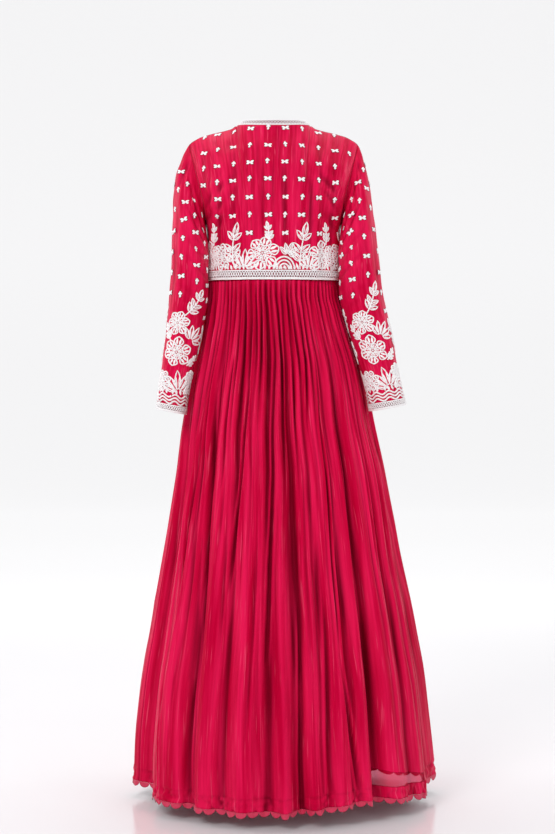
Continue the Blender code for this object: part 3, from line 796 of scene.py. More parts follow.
skirt = {
    "gathers": 80,
    "waistZ": -0.3385,
    "hemZ": -1.431,
    "facingTop": -1.406,
    "perGather": 5,
    "thickness": 0.0007,
    "clothPerGather": 0.0142,
    "sections": table(
        "z x y side deep gather pleat fold",
        (-0.3388, 0.000, -0.005, 0.1420, 0.1065, 0.0013, 0.0000, 0.00),
        (-0.3600, 0.000, -0.005, 0.1415, 0.1075, 0.0028, 0.0005, 0.01),
        (-0.4000, -0.002, -0.004, 0.1465, 0.1150, 0.0036, 0.0018, 0.05),
        (-0.4600, -0.005, -0.003, 0.1595, 0.1300, 0.0033, 0.0036, 0.16),
        (-0.5400, -0.008, -0.001, 0.1800, 0.1480, 0.0022, 0.0048, 0.32),
        (-0.6250, -0.008, 0.000, 0.1955, 0.1640, 0.0014, 0.0052, 0.46),
        (-0.7600, -0.014, 0.000, 0.2190, 0.1880, 0.0008, 0.0048, 0.62),
        (-0.9200, -0.015, 0.000, 0.2450, 0.2140, 0.0005, 0.0040, 0.78),
        (-1.1000, -0.018, 0.000, 0.2780, 0.2430, 0.0003, 0.0030, 0.90),
        (-1.2700, -0.018, 0.000, 0.3040, 0.2680, 0.0002, 0.0022, 0.97),
        (-1.4310, -0.022, 0.000, 0.3180, 0.2870, 0.0002, 0.0016, 1.00),
    ),
    "folds": table(
        "angle reach lift",
        (-6.0, 0.014, 0.002),
        (10.0, -0.046, 0.000),
        (30.0, -0.003, 0.000),
        (41.0, 0.006, 0.000),
        (50.0, -0.020, 0.000),
        (58.0, 0.010, 0.000),
        (65.0, -0.008, 0.000),
        (75.0, 0.010, 0.000),
        (84.0, -0.012, 0.000),
        (90.5, 0.007, 0.000),
        (97.0, -0.021, 0.002),
        (102.0, 0.008, 0.004),
        (107.5, -0.008, 0.007),
        (113.0, 0.009, 0.010),
        (119.0, -0.013, 0.012),
        (123.5, 0.005, 0.013),
        (129.5, -0.027, 0.012),
        (139.0, 0.009, 0.008),
        (149.0, -0.004, 0.004),
        (158.0, 0.006, 0.001),
        (176.0, -0.014, 0.003),
        (190.0, 0.019, 0.008),
        (206.0, -0.016, 0.004),
        (219.0, 0.009, 0.000),
        (229.0, -0.010, 0.000),
        (239.0, 0.010, 0.000),
        (248.0, -0.016, 0.000),
        (256.0, 0.006, 0.000),
        (263.0, -0.008, 0.000),
        (271.0, 0.010, 0.000),
        (280.0, -0.018, 0.000),
        (288.0, 0.007, 0.000),
        (296.0, -0.008, 0.000),
        (305.0, 0.010, 0.000),
        (314.0, -0.017, 0.000),
        (325.0, 0.008, 0.000),
        (336.0, -0.012, 0.000),
    ),
    "unevenWaves": table("size rate start", (0.5, 1.71, 0.4), (0.3, 0.83, 1.9), (0.2, 2.93, 0.0)),
    # long creases: degrees round, metres down, width in degrees, depth in metres
    "creases": table(
        "angle z toAngle toZ width depth",
        (12.0, -0.60, 10.0, -1.20, 1.5, 0.0060),
        (24.0, -0.55, 20.0, -1.00, 1.4, 0.0070),
        (31.0, -1.20, 34.5, -1.44, 1.1, 0.0060),
        (38.0, -0.66, 34.0, -1.14, 1.2, 0.0080),
        (46.0, -0.58, 50.5, -1.06, 1.1, 0.0090),
        (48.5, -1.18, 48.0, -1.45, 1.2, 0.0080),
        (58.0, -0.50, 56.0, -0.84, 0.9, 0.0070),
        (65.5, -0.39, 65.5, -0.64, 0.9, 0.0050),
        (72.0, -0.56, 64.5, -0.98, 1.0, 0.0085),
        (80.0, -0.37, 77.5, -0.66, 0.9, 0.0055),
        (78.0, -0.90, 76.0, -1.30, 0.9, 0.0050),
        (88.0, -0.52, 83.0, -1.12, 0.9, 0.0095),
        (93.0, -0.40, 93.5, -0.70, 0.8, 0.0050),
        (101.0, -0.46, 100.0, -0.86, 0.9, 0.0080),
        (98.5, -0.98, 97.0, -1.44, 0.8, 0.0080),
        (112.5, -0.36, 108.5, -0.66, 0.9, 0.0055),
        (110.0, -0.95, 108.0, -1.40, 0.9, 0.0050),
        (117.0, -0.48, 115.0, -1.12, 0.9, 0.0090),
        (114.5, -1.12, 121.5, -1.43, 1.0, 0.0075),
        (126.5, -0.60, 129.0, -1.05, 1.0, 0.0085),
        (132.0, -1.06, 130.5, -1.42, 2.3, 0.0120),
        (145.0, -0.50, 143.0, -0.95, 1.1, 0.0070),
        (152.0, -0.85, 150.0, -1.30, 1.0, 0.0050),
        (160.0, -0.62, 168.0, -1.14, 1.3, 0.0070),
        (200.0, -0.55, 203.0, -1.10, 1.3, 0.0070),
        (214.0, -0.42, 216.0, -0.80, 1.0, 0.0050),
        (222.0, -0.50, 226.0, -0.98, 1.1, 0.0080),
        (236.0, -0.60, 233.0, -1.15, 1.0, 0.0060),
        (251.0, -0.48, 249.0, -1.05, 1.0, 0.0085),
        (268.0, -0.55, 265.0, -0.95, 0.9, 0.0070),
        (274.0, -0.90, 276.0, -1.40, 1.0, 0.0060),
        (282.0, -0.50, 281.0, -1.12, 1.0, 0.0085),
        (300.0, -0.58, 298.0, -1.00, 1.0, 0.0070),
        (309.0, -1.00, 311.0, -1.42, 1.1, 0.0060),
        (317.0, -0.50, 315.0, -1.10, 1.1, 0.0080),
        (338.0, -0.60, 337.0, -1.10, 1.4, 0.0060),
    ),
    "stretches": table("top bottom rows", (-0.3388, -0.45, 23), (-0.45, -1.385, 65), (-1.385, -1.431, 14)),
    "metresPerDegree": 0.004,
    "crinkleDepth": 0.0018,
    "swayDepth": 0.0028,
    "clothDrift": 0.004,
    "wander": 0.75,
    "puckerDepth": 0.0030,
    "stitchDepth": 0.0012,
    "narrowShade": (6, 0.0026),
    "broadShade": (36, 0.0150),
    "seamLift": 0.00015,
    "crinkle": {
        "across": 180.0,
        "down": 5.0,
        "height": 0.0008,
        "shade": 0.88,
        "fine": 0.28,
        "glint": 0.50,
        "lustre": 0.12,
    },
    "sheet": {"flat": (1.14, 1.10), "held": "gathered", "area": 1.06},
}

# The stretch of the hem where one layer of silk lies alone, as gather columns and heights

sheer = {
    "first": 55.0,
    "last": 73.0,
    "clearFrom": 57.3,
    "clearTo": 71.0,
    "clear": 0.60,
    "tint": (1.0, 0.60, 0.71, 1),
    "blur": (0.003, 0.004, 0.002, 0.002),
    "rise": 0.009,
    "liningTop": -1.3300,
    "liningFirst": -1.3727,
    "liningLast": -1.4005,
    "scallops": 9,
    "scallopDepth": 0.007,
    "inward": 0.0034,
    "thickness": 0.0005,
    "liningColour": (0.60, 0.006, 0.05, 1),
    "liningSheet": {"flat": (0.24, 0.062), "held": "hung", "area": 0.0118},
    "facingSheet": {"flat": (0.24, 0.026), "held": "hung", "area": 0.0058},
}


def awayFromSeams(column):
    return np.clip(np.abs(np.sin(math.pi * column / skirt["gathers"])) * 6, 0, 1)


def unevenness(column):
    waves = skirt["unevenWaves"]
    return sum(wave["size"] * np.sin(wave["rate"] * column + wave["start"]) for wave in waves)


def gatherAngle(column):
    shift = unevenness(0.61 * column + 3) * awayFromSeams(column)
    return math.pi / skirt["gathers"] * (column + 0.28 * shift)


def foldValue(angle, key):
    folds = skirt["folds"]
    knots = np.array([fold["angle"] for fold in folds] + [folds[0]["angle"] + 360])
    values = np.array([fold[key] for fold in folds] + [folds[0][key]])
    degrees = (np.degrees(angle) - knots[0]) % 360 + knots[0]
    index = np.clip(np.searchsorted(knots, degrees, side="right") - 1, 0, len(knots) - 2)
    share = (degrees - knots[index]) / (knots[index + 1] - knots[index])
    ease = (1 - np.cos(math.pi * share)) / 2
    return values[index] * (1 - ease) + values[index + 1] * ease


def skirtReach(columns, heights):
    # how far the cloth lies out from the plain section: gathers, pleats and large folds
    angle = gatherAngle(columns)[None, :]
    z = np.asarray(heights)[:, None]
    sections = skirt["sections"]
    away = awayFromSeams(columns)[None, :]
    uneven = unevenness(columns)[None, :] * away
    loose = away * ramp(-z, 0.339, 0.46)
    lines = columns + skirt["wander"] * loose * softNoise(columns[None, :] / 2.3 + 9, z / 0.26 + 20, 58)
    swell = 1 + 0.35 * uneven + 0.60 * loose * softNoise(columns[None, :] / 3.1 + 9, z / 0.2 + 20, 59)
    gather = readRows(sections, "z", "gather", z) * np.cos(math.pi * lines) * swell
    pleat = readRows(sections, "z", "pleat", z) * np.cos(math.pi * lines / 2 + 1.1 * uneven) * swell
    return gather + pleat + readRows(sections, "z", "fold", z) * foldValue(angle, "reach")


def skirtDetail(columns, heights):
    # listed creases, long crinkle lines, the hem's stitching and its puckers
    s = skirt
    column = columns[None, :]
    z = np.asarray(heights)[:, None]
    toSeam = np.minimum(column % s["gathers"], s["gathers"] - column % s["gathers"])
    calm = ramp(toSeam, 0, 1.0) * ramp(s["waistZ"] - z, 0.0, 0.03)
    unit = s["metresPerDegree"]
    creases = table(
        "u v toU toV width depth bend",
        *(
            (c["angle"] * unit, c["z"], c["toAngle"] * unit, c["toZ"], c["width"] * unit, c["depth"], 0.0)
            for c in s["creases"]
        ),
    )
    total = -creaseField(np.degrees(gatherAngle(column)) * unit, z, creases)
    drift = 0.6 * softNoise(column / 9 + 30, z / 0.25 + 8, 51)
    lines = 1.3 * softNoise(column * 0.95 + drift + 30, z / 0.32 + 8, 52)
    lines = lines + 1.5 * (0.5 - np.abs(softNoise(column * 1.4 + drift + 30, z / 0.16 + 8, 53)))
    strength = (0.6 + 0.4 * ramp(-z, 0.40, 0.80)) * (1 - 0.55 * ramp(-z, 0.90, 1.30))
    total = total + s["crinkleDepth"] * strength * lines
    total = total + s["swayDepth"] * ramp(-z, 0.36, 0.60) * softNoise(column * 0.33 + 30, z / 0.5 + 8, 56)
    band = ramp(-z, -s["facingTop"] - 0.012, -s["facingTop"] + 0.004)
    pucker = softNoise(column * 1.3 + 5, z / 0.011 + 8, 54)
    pucker = pucker + 0.5 * softNoise(column * 2.3 + 5, z / 0.006 + 8, 55)
    total = total + band * s["puckerDepth"] * pucker
    return (total - s["stitchDepth"] * np.exp(-(((z - s["facingTop"]) / 0.0025) ** 2))) * calm


def skirtPoints(columns, heights, reach):
    angle = gatherAngle(columns)[None, :]
    z = np.asarray(heights)[:, None]
    sections = skirt["sections"]
    side = readRows(sections, "z", "side", z)
    deep = readRows(sections, "z", "deep", z)
    normalX = np.cos(angle) / side
    normalY = np.sin(angle) / deep
    length = np.hypot(normalX, normalY)
    x = readRows(sections, "z", "x", z) + side * np.cos(angle) + reach * normalX / length
    y = readRows(sections, "z", "y", z) + deep * np.sin(angle) + reach * normalY / length
    fall = np.clip((z - skirt["waistZ"]) / (skirt["hemZ"] - skirt["waistZ"]), 0, 1)
    return np.stack([x, y, z + foldValue(angle, "lift") * fall**3], axis=2)


def sheerPart():
    h = sheer
    pitch = skirt["clothPerGather"]
    slope = (h["liningLast"] - h["liningFirst"]) / ((h["last"] - h["first"]) * pitch)
    return {
        "from": h["clearFrom"] * pitch,
        "to": h["clearTo"] * pitch,
        "slope": slope,
        "top": h["liningFirst"] - slope * h["first"] * pitch + h["rise"],
        "bottom": skirt["facingTop"] - 0.002,
        "clear": h["clear"],
        "tint": h["tint"],
        "blur": h["blur"],
    }


def makeSkirt():
    s = skirt
    stretches = [np.linspace(row["top"], row["bottom"], row["rows"] + 1) for row in s["stretches"]]
    heights = np.unique(np.concatenate(stretches))[::-1]
    hems = {}
    for name, first, part in (("Back", 0, sheerPart()), ("Front", s["gathers"], None)):
        finish = silk("silkSkirt" + name, s["crinkle"], part)
        columns = np.linspace(first, first + s["gathers"], s["gathers"] * s["perGather"] + 1)
        reach = skirtReach(columns, heights) + skirtDetail(columns, heights)
        grid = skirtPoints(columns, heights, reach)
        grid[:, (0, -1), 1] += s["seamLift"] if name == "Back" else -s["seamLift"]
        # painted shade in the gaps between gathers and at the bottoms of broad folds, varied at random and stronger
        # high on the skirt
        gaps = 0.75 + 0.45 * softNoise(columns[None, :] / 1.3 + 5, heights[:, None] / 0.1 + 20, 60)
        hollow = gaps * hollowShade(reach, *s["narrowShade"]) + 0.45 * hollowShade(reach, *s["broadShade"])
        fade = 1.35 - 0.35 * ramp(-heights, 0.45, 0.70) - 0.30 * ramp(-heights, 1.0, 1.4)
        # painted shade along the hem's stitching line
        stitched = np.exp(-(((heights[:, None] - s["facingTop"]) / 0.002) ** 2))
        hollow = hollow * fade[:, None] + 0.18 * stitched
        drift = s["clothDrift"] * softNoise(columns[None, :] / 6 + 5, heights[:, None] / 0.15 + 20, 57)
        uv = pairs(columns[None, :] * s["clothPerGather"] + drift, heights[:, None])
        mesh = gridMesh("skirt" + name, grid[:, ::-1], uv[:, ::-1], hollow=np.clip(hollow[:, ::-1], 0, 1))
        clothPiece(mesh, s["thickness"], "skirt_silk", finish, ["skirt_" + name.lower()], s["sheet"])
        hems[name] = grid[-1]
    return hems


def makeHemLining():
    # the lining's scalloped edge and the hem's facing, seen through the sheer stretch
    h = sheer
    columns = np.linspace(h["first"], h["last"], 181)
    share = np.linspace(0, 1, len(columns))
    scallop = np.sin(math.pi * (share * h["scallops"] % 1)) ** 0.6
    slope = h["liningLast"] - h["liningFirst"]
    edge = h["liningFirst"] + slope * share + h["scallopDepth"] * (1 - scallop)
    finish = plainFinish("liningSilk", h["liningColour"], 0.6)
    strips = (
        ("liningHem", "lining_hem", h["liningTop"], edge, h["liningSheet"]),
        ("hemFacing", "hem_facing", skirt["facingTop"], skirt["hemZ"], h["facingSheet"]),
    )
    ladder = np.linspace(h["liningTop"], skirt["hemZ"], 60)
    reach = skirtReach(columns, ladder) + skirtDetail(columns, ladder)
    wall = skirtPoints(columns, ladder, reach - h["inward"])
    column = np.arange(len(columns))
    for name, node, top, bottom, sheet in strips:
        levels = np.linspace(top + 0 * columns, bottom + 0 * columns, 9)
        rung = (ladder[0] - levels) / (ladder[0] - ladder[-1]) * (len(ladder) - 1)
        below = np.minimum(rung.astype(int), len(ladder) - 2)
        part = (rung - below)[..., None]
        grid = wall[below, column] * (1 - part) + wall[below + 1, column] * part
        uv = pairs(columns[None, :] * skirt["clothPerGather"], levels)
        mesh = gridMesh(name, grid[:, ::-1], uv[:, ::-1])
        clothPiece(mesh, h["thickness"], "lining", finish, [node], sheet)


# Scalloped edging under the hem

edging = {
    "pitch": 0.027,
    "depth": 0.0115,
    "root": 0.0015,
    "gap": 0.0003,
    "across": 14,
    "down": 6,
    "curl": 0.0022,
    "thickness": 0.0006,
    "body": (0.56, 0.012, 0.060, 1),
    "bright": (0.66, 0.030, 0.100, 1),
    "rim": (0.36, 0.001, 0.030, 1),
    "sheet": {"flat": (1.12, 0.0115), "held": "hung", "area": 0.0112},
}


def edgingFinish():
    finish = Finish("edgingSilk")
    _, toEdge = finish.axes()
    rim = finish.between(toEdge, 0.0016, 0.0008)
    grain = finish.noise(700.0, 700.0)
    colour = finish.blend(rim, finish.blend(grain, edging["body"], edging["bright"]), edging["rim"])
    normal = finish.bump(grain * 0.0001 + rim * 0.0006)
    finish.set({"Base Color": colour, "Roughness": 0.55, "Sheen Weight": 0.12, "Normal": normal})
    return finish.material


def makeScallops(hems):
    e = edging
    finish = edgingFinish()
    for name, hem in hems.items():
        length = runLength(hem)
        count = int(round(length[-1] / e["pitch"]))
        total = count * e["across"]
        places = np.linspace(0, length[-1], total + 1)
        top = np.stack([np.interp(places, length, hem[:, axis]) for axis in range(3)], axis=1)
        top[:, 2] -= e["gap"]
        turns = np.arange(total + 1) / e["across"]
        depth = e["root"] + (e["depth"] - e["root"]) * np.sin(math.pi * (turns % 1)) ** 0.55
        tangent = np.gradient(top, axis=0)
        outward = np.stack([tangent[:, 1], -tangent[:, 0], 0 * tangent[:, 0]], axis=1)
        outward /= np.linalg.norm(outward, axis=1, keepdims=True)
        tilt = softNoise(turns + 3, 0.5, 61 if name == "Back" else 67) + 0.3
        rows = []
        for share in np.linspace(0, 1, e["down"] + 1):
            curl = e["curl"] * tilt * (share * depth / e["depth"]) ** 2
            rows.append(top - np.outer(depth * share, (0, 0, 1)) + outward * curl[:, None])
        shares = np.linspace(1, 0, e["down"] + 1)[:, None]
        uv = pairs(places[None, :], shares * depth[None, :])
        mesh = gridMesh("scallops" + name, np.array(rows)[:, ::-1], uv[:, ::-1])
        clothPiece(mesh, e["thickness"], "edging", finish, ["scallops_" + name.lower()], e["sheet"])


# Cloth surfaces that trims and embroidery follow

class ClothMap:
    # places on a closed sheet: s metres round from a middle line, h metres up, lift off the surface
    def __init__(self, grid, normals, heights, middle, way=1):
        self.grid = np.concatenate([grid, grid[:, :1]], axis=1)
        self.normals = np.concatenate([normals, normals[:, :1]], axis=1)
        self.round = np.array([runLength(row) for row in self.grid])
        self.heights = heights
        self.middle = middle
        self.way = way
        self.order = slice(None) if heights[-1] > heights[0] else slice(None, None, -1)

    def girth(self, h):
        return float(np.interp(h, self.heights[self.order], self.round[self.order, -1]))

    def at(self, s, h, lift=0.0):
        rows = np.arange(len(self.heights), dtype=float)
        spot = np.interp(h, self.heights[self.order], rows[self.order])
        low = int(min(spot, len(rows) - 2))
        point, normal = np.zeros(3), np.zeros(3)
        for row, weight in ((low, low + 1 - spot), (low + 1, spot - low)):
            where = (self.round[row, self.middle] + self.way * s) % self.round[row, -1]
            column = np.interp(where, self.round[row], np.arange(self.grid.shape[1]))
            left = int(min(column, self.grid.shape[1] - 2))
            part = column - left
            point += weight * (self.grid[row, left] * (1 - part) + self.grid[row, left + 1] * part)
            normal += weight * (self.normals[row, left] * (1 - part) + self.normals[row, left + 1] * part)
        normal /= np.linalg.norm(normal)
        return point + normal * lift, normal


def torsoMap(panels):
    low = bodice["lowRows"] + 1
    ring = np.concatenate([panels["back"][:low, :-1], panels["front"][:low, :-1]], axis=1)
    heights = ring[:, 0, 2] - bodice["waistZ"]
    return ClothMap(ring, gridNormals(ring, True), heights, (panels["back"].shape[1] - 1) // 2)


def sleeveMap(side, grid):
    out = 1 if side == "left" else -1
    down = runLength(grid.mean(axis=1))
    return ClothMap(grid, gridNormals(grid, True) * out, down[-1] - down, grid.shape[1] // 4, way=-out)


def neckMap(panels):
    t = trims["neck"]
    columns = bodice["neckColumns"]
    middle = (panels["back"].shape[1] - 1) // 2
    span = slice(middle - columns, middle + columns + 1)
    ring = np.concatenate([panels["back"][-1, span][:-1], panels["front"][-1, span][:-1]])
    lean = np.stack([-t["sideLean"] * ring[:, 0], -t["backLean"] * ring[:, 1], np.ones(len(ring))], axis=1)
    lean /= np.linalg.norm(lean, axis=1, keepdims=True)
    heights = np.linspace(0.0003, t["height"], 5)
    grid = ring + lean * heights[:, None, None]
    return ClothMap(grid, gridNormals(grid, True), heights, columns)


# Lattice trims: a tape with corded lines and crossing zigzags, heights from its lower edge

trims = {
    "waist": {
        "foot": 0.0002,
        "lift": 0.0010,
        "height": 0.0203,
        "lines": [0.0014, 0.0040, 0.0190],
        "zigzags": table("low high pitch", (0.0062, 0.0176, 0.0112)),
        "flat": (0.80, 0.0205),
    },
    "neck": {
        "foot": 0.0,
        "lift": 0.0,
        "height": 0.0140,
        "sideLean": 13.0,
        "backLean": 9.0,
        "lines": [0.0013, 0.0034, 0.0127],
        "zigzags": table("low high pitch", (0.0046, 0.0118, 0.0136)),
        "flat": (0.45, 0.0140),
    },
    "cuff": {
        "foot": 0.0,
        "lift": 0.0010,
        "height": 0.0160,
        "lines": [0.0013, 0.0034, 0.0147],
        "zigzags": table("low high pitch", (0.0050, 0.0134, 0.0100)),
        "flat": (0.21, 0.0160),
    },
    "tapeColour": (0.24, 0.030, 0.055, 1),
    "tapeThickness": 0.0006,
    "tapeStep": 0.003,
    "lineStep": 0.005,
    "cordLift": 0.0005,
    "lineRadius": 0.0015,
    "zigzagRadius": 0.00125,
    "neckFineness": 0.62,
    "cordSides": 6,
}


def wire(tree, *links):
    # links as (node, output, node, input)
    for source, output, target, entry in links:
        tree.links.new(source.outputs[output], target.inputs[entry])


def nodeGroup(name, inputs):
    # an empty group with named inputs and one geometry output
    tree = bpy.data.node_groups.new(name, "GeometryNodeTree")
    tree.interface.new_socket("Geometry", in_out="INPUT", socket_type="NodeSocketGeometry")
    names = {}
    for label, kind in inputs.items():
        names[label] = tree.interface.new_socket(label, in_out="INPUT", socket_type=kind).identifier
    tree.interface.new_socket("Geometry", in_out="OUTPUT", socket_type="NodeSocketGeometry")
    return tree, names, tree.nodes.new("NodeGroupInput"), tree.nodes.new("NodeGroupOutput")


def grow(source, name, tree, names, values):
    # sets the group's inputs, keeps what it makes as a plain mesh and drops the modifier with its source
    modifier = source.modifiers.new(name, "NODES")
    modifier.node_group = tree
    for label, value in values.items():
        modifier[names[label]] = value
    bpy.context.view_layer.update()
    graph = bpy.context.evaluated_depsgraph_get()
    mesh = bpy.data.meshes.new_from_object(source.evaluated_get(graph), depsgraph=graph)
    mesh.name = name
    bpy.data.objects.remove(source)
    if "cloth" not in mesh.uv_layers:
        corners = np.zeros(len(mesh.loops), int)
        mesh.loops.foreach_get("vertex_index", corners)
        points = np.zeros(len(mesh.vertices) * 3)
        mesh.vertices.foreach_get("co", points)
        points = points.reshape(-1, 3)[corners]
        flat = np.stack([points[:, 0] + points[:, 1], points[:, 2]], axis=1)
        mesh.uv_layers.new(name="cloth").data.foreach_set("uv", flat.astype(np.float32).ravel())
    mesh.shade_smooth()
    return newObject(name, mesh)


def cords(name, paths, radius, finish):
    # Geometry Nodes: every closed or open path becomes a round cord
    points, edges = [], []
    for path, loop in paths:
        start = len(points)
        points.extend(tuple(point) for point in path)
        edges.extend((start + step, start + step + 1) for step in range(len(path) - 1))
        if loop:
            edges.append((start + len(path) - 1, start))
    mesh = bpy.data.meshes.new(name + "Paths")
    mesh.from_pydata(points, edges, [])
    inputs = {
        "Cord radius": "NodeSocketFloat",
        "Cord sides": "NodeSocketInt",
        "Finish": "NodeSocketMaterial",
    }
    tree, names, entry, result = nodeGroup(name + "Cords", inputs)
    new = tree.nodes.new
    toCurve, circle = new("GeometryNodeMeshToCurve"), new("GeometryNodeCurvePrimitiveCircle")
    sweep = new("GeometryNodeCurveToMesh")
    sweep.inputs["Fill Caps"].default_value = True
    realise, paint = new("GeometryNodeRealizeInstances"), new("GeometryNodeSetMaterial")
    wire(
        tree,
        (entry, "Geometry", toCurve, "Mesh"),
        (entry, "Cord radius", circle, "Radius"),
        (entry, "Cord sides", circle, "Resolution"),
        (toCurve, "Curve", sweep, "Curve"),
        (circle, "Curve", sweep, "Profile Curve"),
        (sweep, "Mesh", realise, "Geometry"),
        (realise, "Geometry", paint, "Geometry"),
        (entry, "Finish", paint, "Material"),
        (paint, "Geometry", result, "Geometry"),
    )
    values = {"Cord radius": radius, "Cord sides": trims["cordSides"], "Finish": finish}
    return grow(newObject(name + "Paths", mesh), name, tree, names, values)


def trimTape(name, node, spec, at, girth, finish):
    count = int(girth / trims["tapeStep"])
    shares = np.linspace(0, 1, 3)
    steps = np.arange(count) * girth / count
    rows = [[at(s, spec["height"] * share, 0.0) for s in steps] for share in shares]
    uv = pairs(steps[None, :], (shares * spec["height"])[:, None])
    mesh = gridMesh(name, np.array(rows), uv, closed=True)
    sheet = {"flat": spec["flat"], "held": "stretched"}
    clothPiece(mesh, trims["tapeThickness"], "lattice", finish, [node], sheet)


def trimPaths(spec, at, girth):
    # straight lines round the tape, and zigzags in pairs that cross into a lattice
    lift = trims["cordLift"]
    count = int(girth / trims["lineStep"])
    steps = np.arange(count) * girth / count
    lines = [([at(s, height, lift) for s in steps], True) for height in spec["lines"]]
    zigzags = []
    for row in spec["zigzags"]:
        turns = int(round(girth / row["pitch"]))
        for phase in (0, 0.5):
            path = []
            for index in range(turns * 4):
                swing = abs((index / 4 + phase) % 1 * 2 - 1)
                height = row["low"] + (row["high"] - row["low"]) * swing
                path.append(at(girth * index / 4 / turns, height, lift))
            zigzags.append((path, True))
    return lines, zigzags


def makeTrims(panels, torso, sleeves, white):
    tapeFinish = plainFinish("trimTape", trims["tapeColour"], 0.7)
    bands = (
        ("waistBand", "waist_band", trims["waist"], torso),
        ("neckBand", "neck_band", trims["neck"], neckMap(panels)),
        ("cuffBandLeft", "cuff_band_left", trims["cuff"], sleeves["left"]),
        ("cuffBandRight", "cuff_band_right", trims["cuff"], sleeves["right"]),
    )
    wide, fine = ([], []), ([], [])
    for name, node, spec, cloth in bands:
        girth = cloth.girth(spec["height"] / 2)

        def at(s, h, more):
            # the same share of the way round at every height
            return cloth.at(s / girth * cloth.girth(h), spec["foot"] + h, spec["lift"] + more)[0]

        trimTape(name, node, spec, at, girth, tapeFinish)
        for paths, more in zip(fine if name == "neckBand" else wide, trimPaths(spec, at, girth)):
            paths += more
    for kind, paths, share in (("lattice", wide, 1.0), ("neckLattice", fine, trims["neckFineness"])):
        place(cords(kind + "Lines", paths[0], trims["lineRadius"] * share, white), "lattice")
        place(cords(kind + "Crossings", paths[1], trims["zigzagRadius"] * share, white), "lattice")


# Seam lines: a fine fold of silk round each armhole and along the shoulder seams, coloured darker than the silk as
# painted shade

seams = {"radius": 0.0007, "colour": (0.30, 0.0, 0.014, 1)}


def makeSeams(panels):
    low = bodice["lowRows"]
    back, front = panels["back"], panels["front"]
    middle = (back.shape[1] - 1) // 2
    neckEdge = bodice["neckColumns"]
    paths = []
    for backEdge, frontEdge in ((0, -1), (-1, 0)):
        loop = np.concatenate([back[low:, backEdge], front[low:, frontEdge][::-1][1:-1]])
        paths.append((loop, True))
        paths.append(([tuple(point) for point in back[: low + 1, backEdge]], False))
    paths.append((back[-1, : middle - neckEdge], False))
    paths.append((back[-1, middle + neckEdge + 1 :], False))
    # painted shade: the seam cords take a darker crimson than the silk
    finish = plainFinish("seamSilk", seams["colour"], 0.6)
    place(cords("seamLines", paths, seams["radius"], finish), "silk")


# Embroidery, drawn flat in metres (s across, h up) and laid on the cloth

stitches = {
    "rim": 0.0013,
    "stem": 0.0014,
    "petalRim": 0.0015,
    "roseRim": 0.0016,
    "archRim": 0.0018,
    "waveRim": 0.0018,
    "sink": 0.0002,
    "base": 0.0004,
}


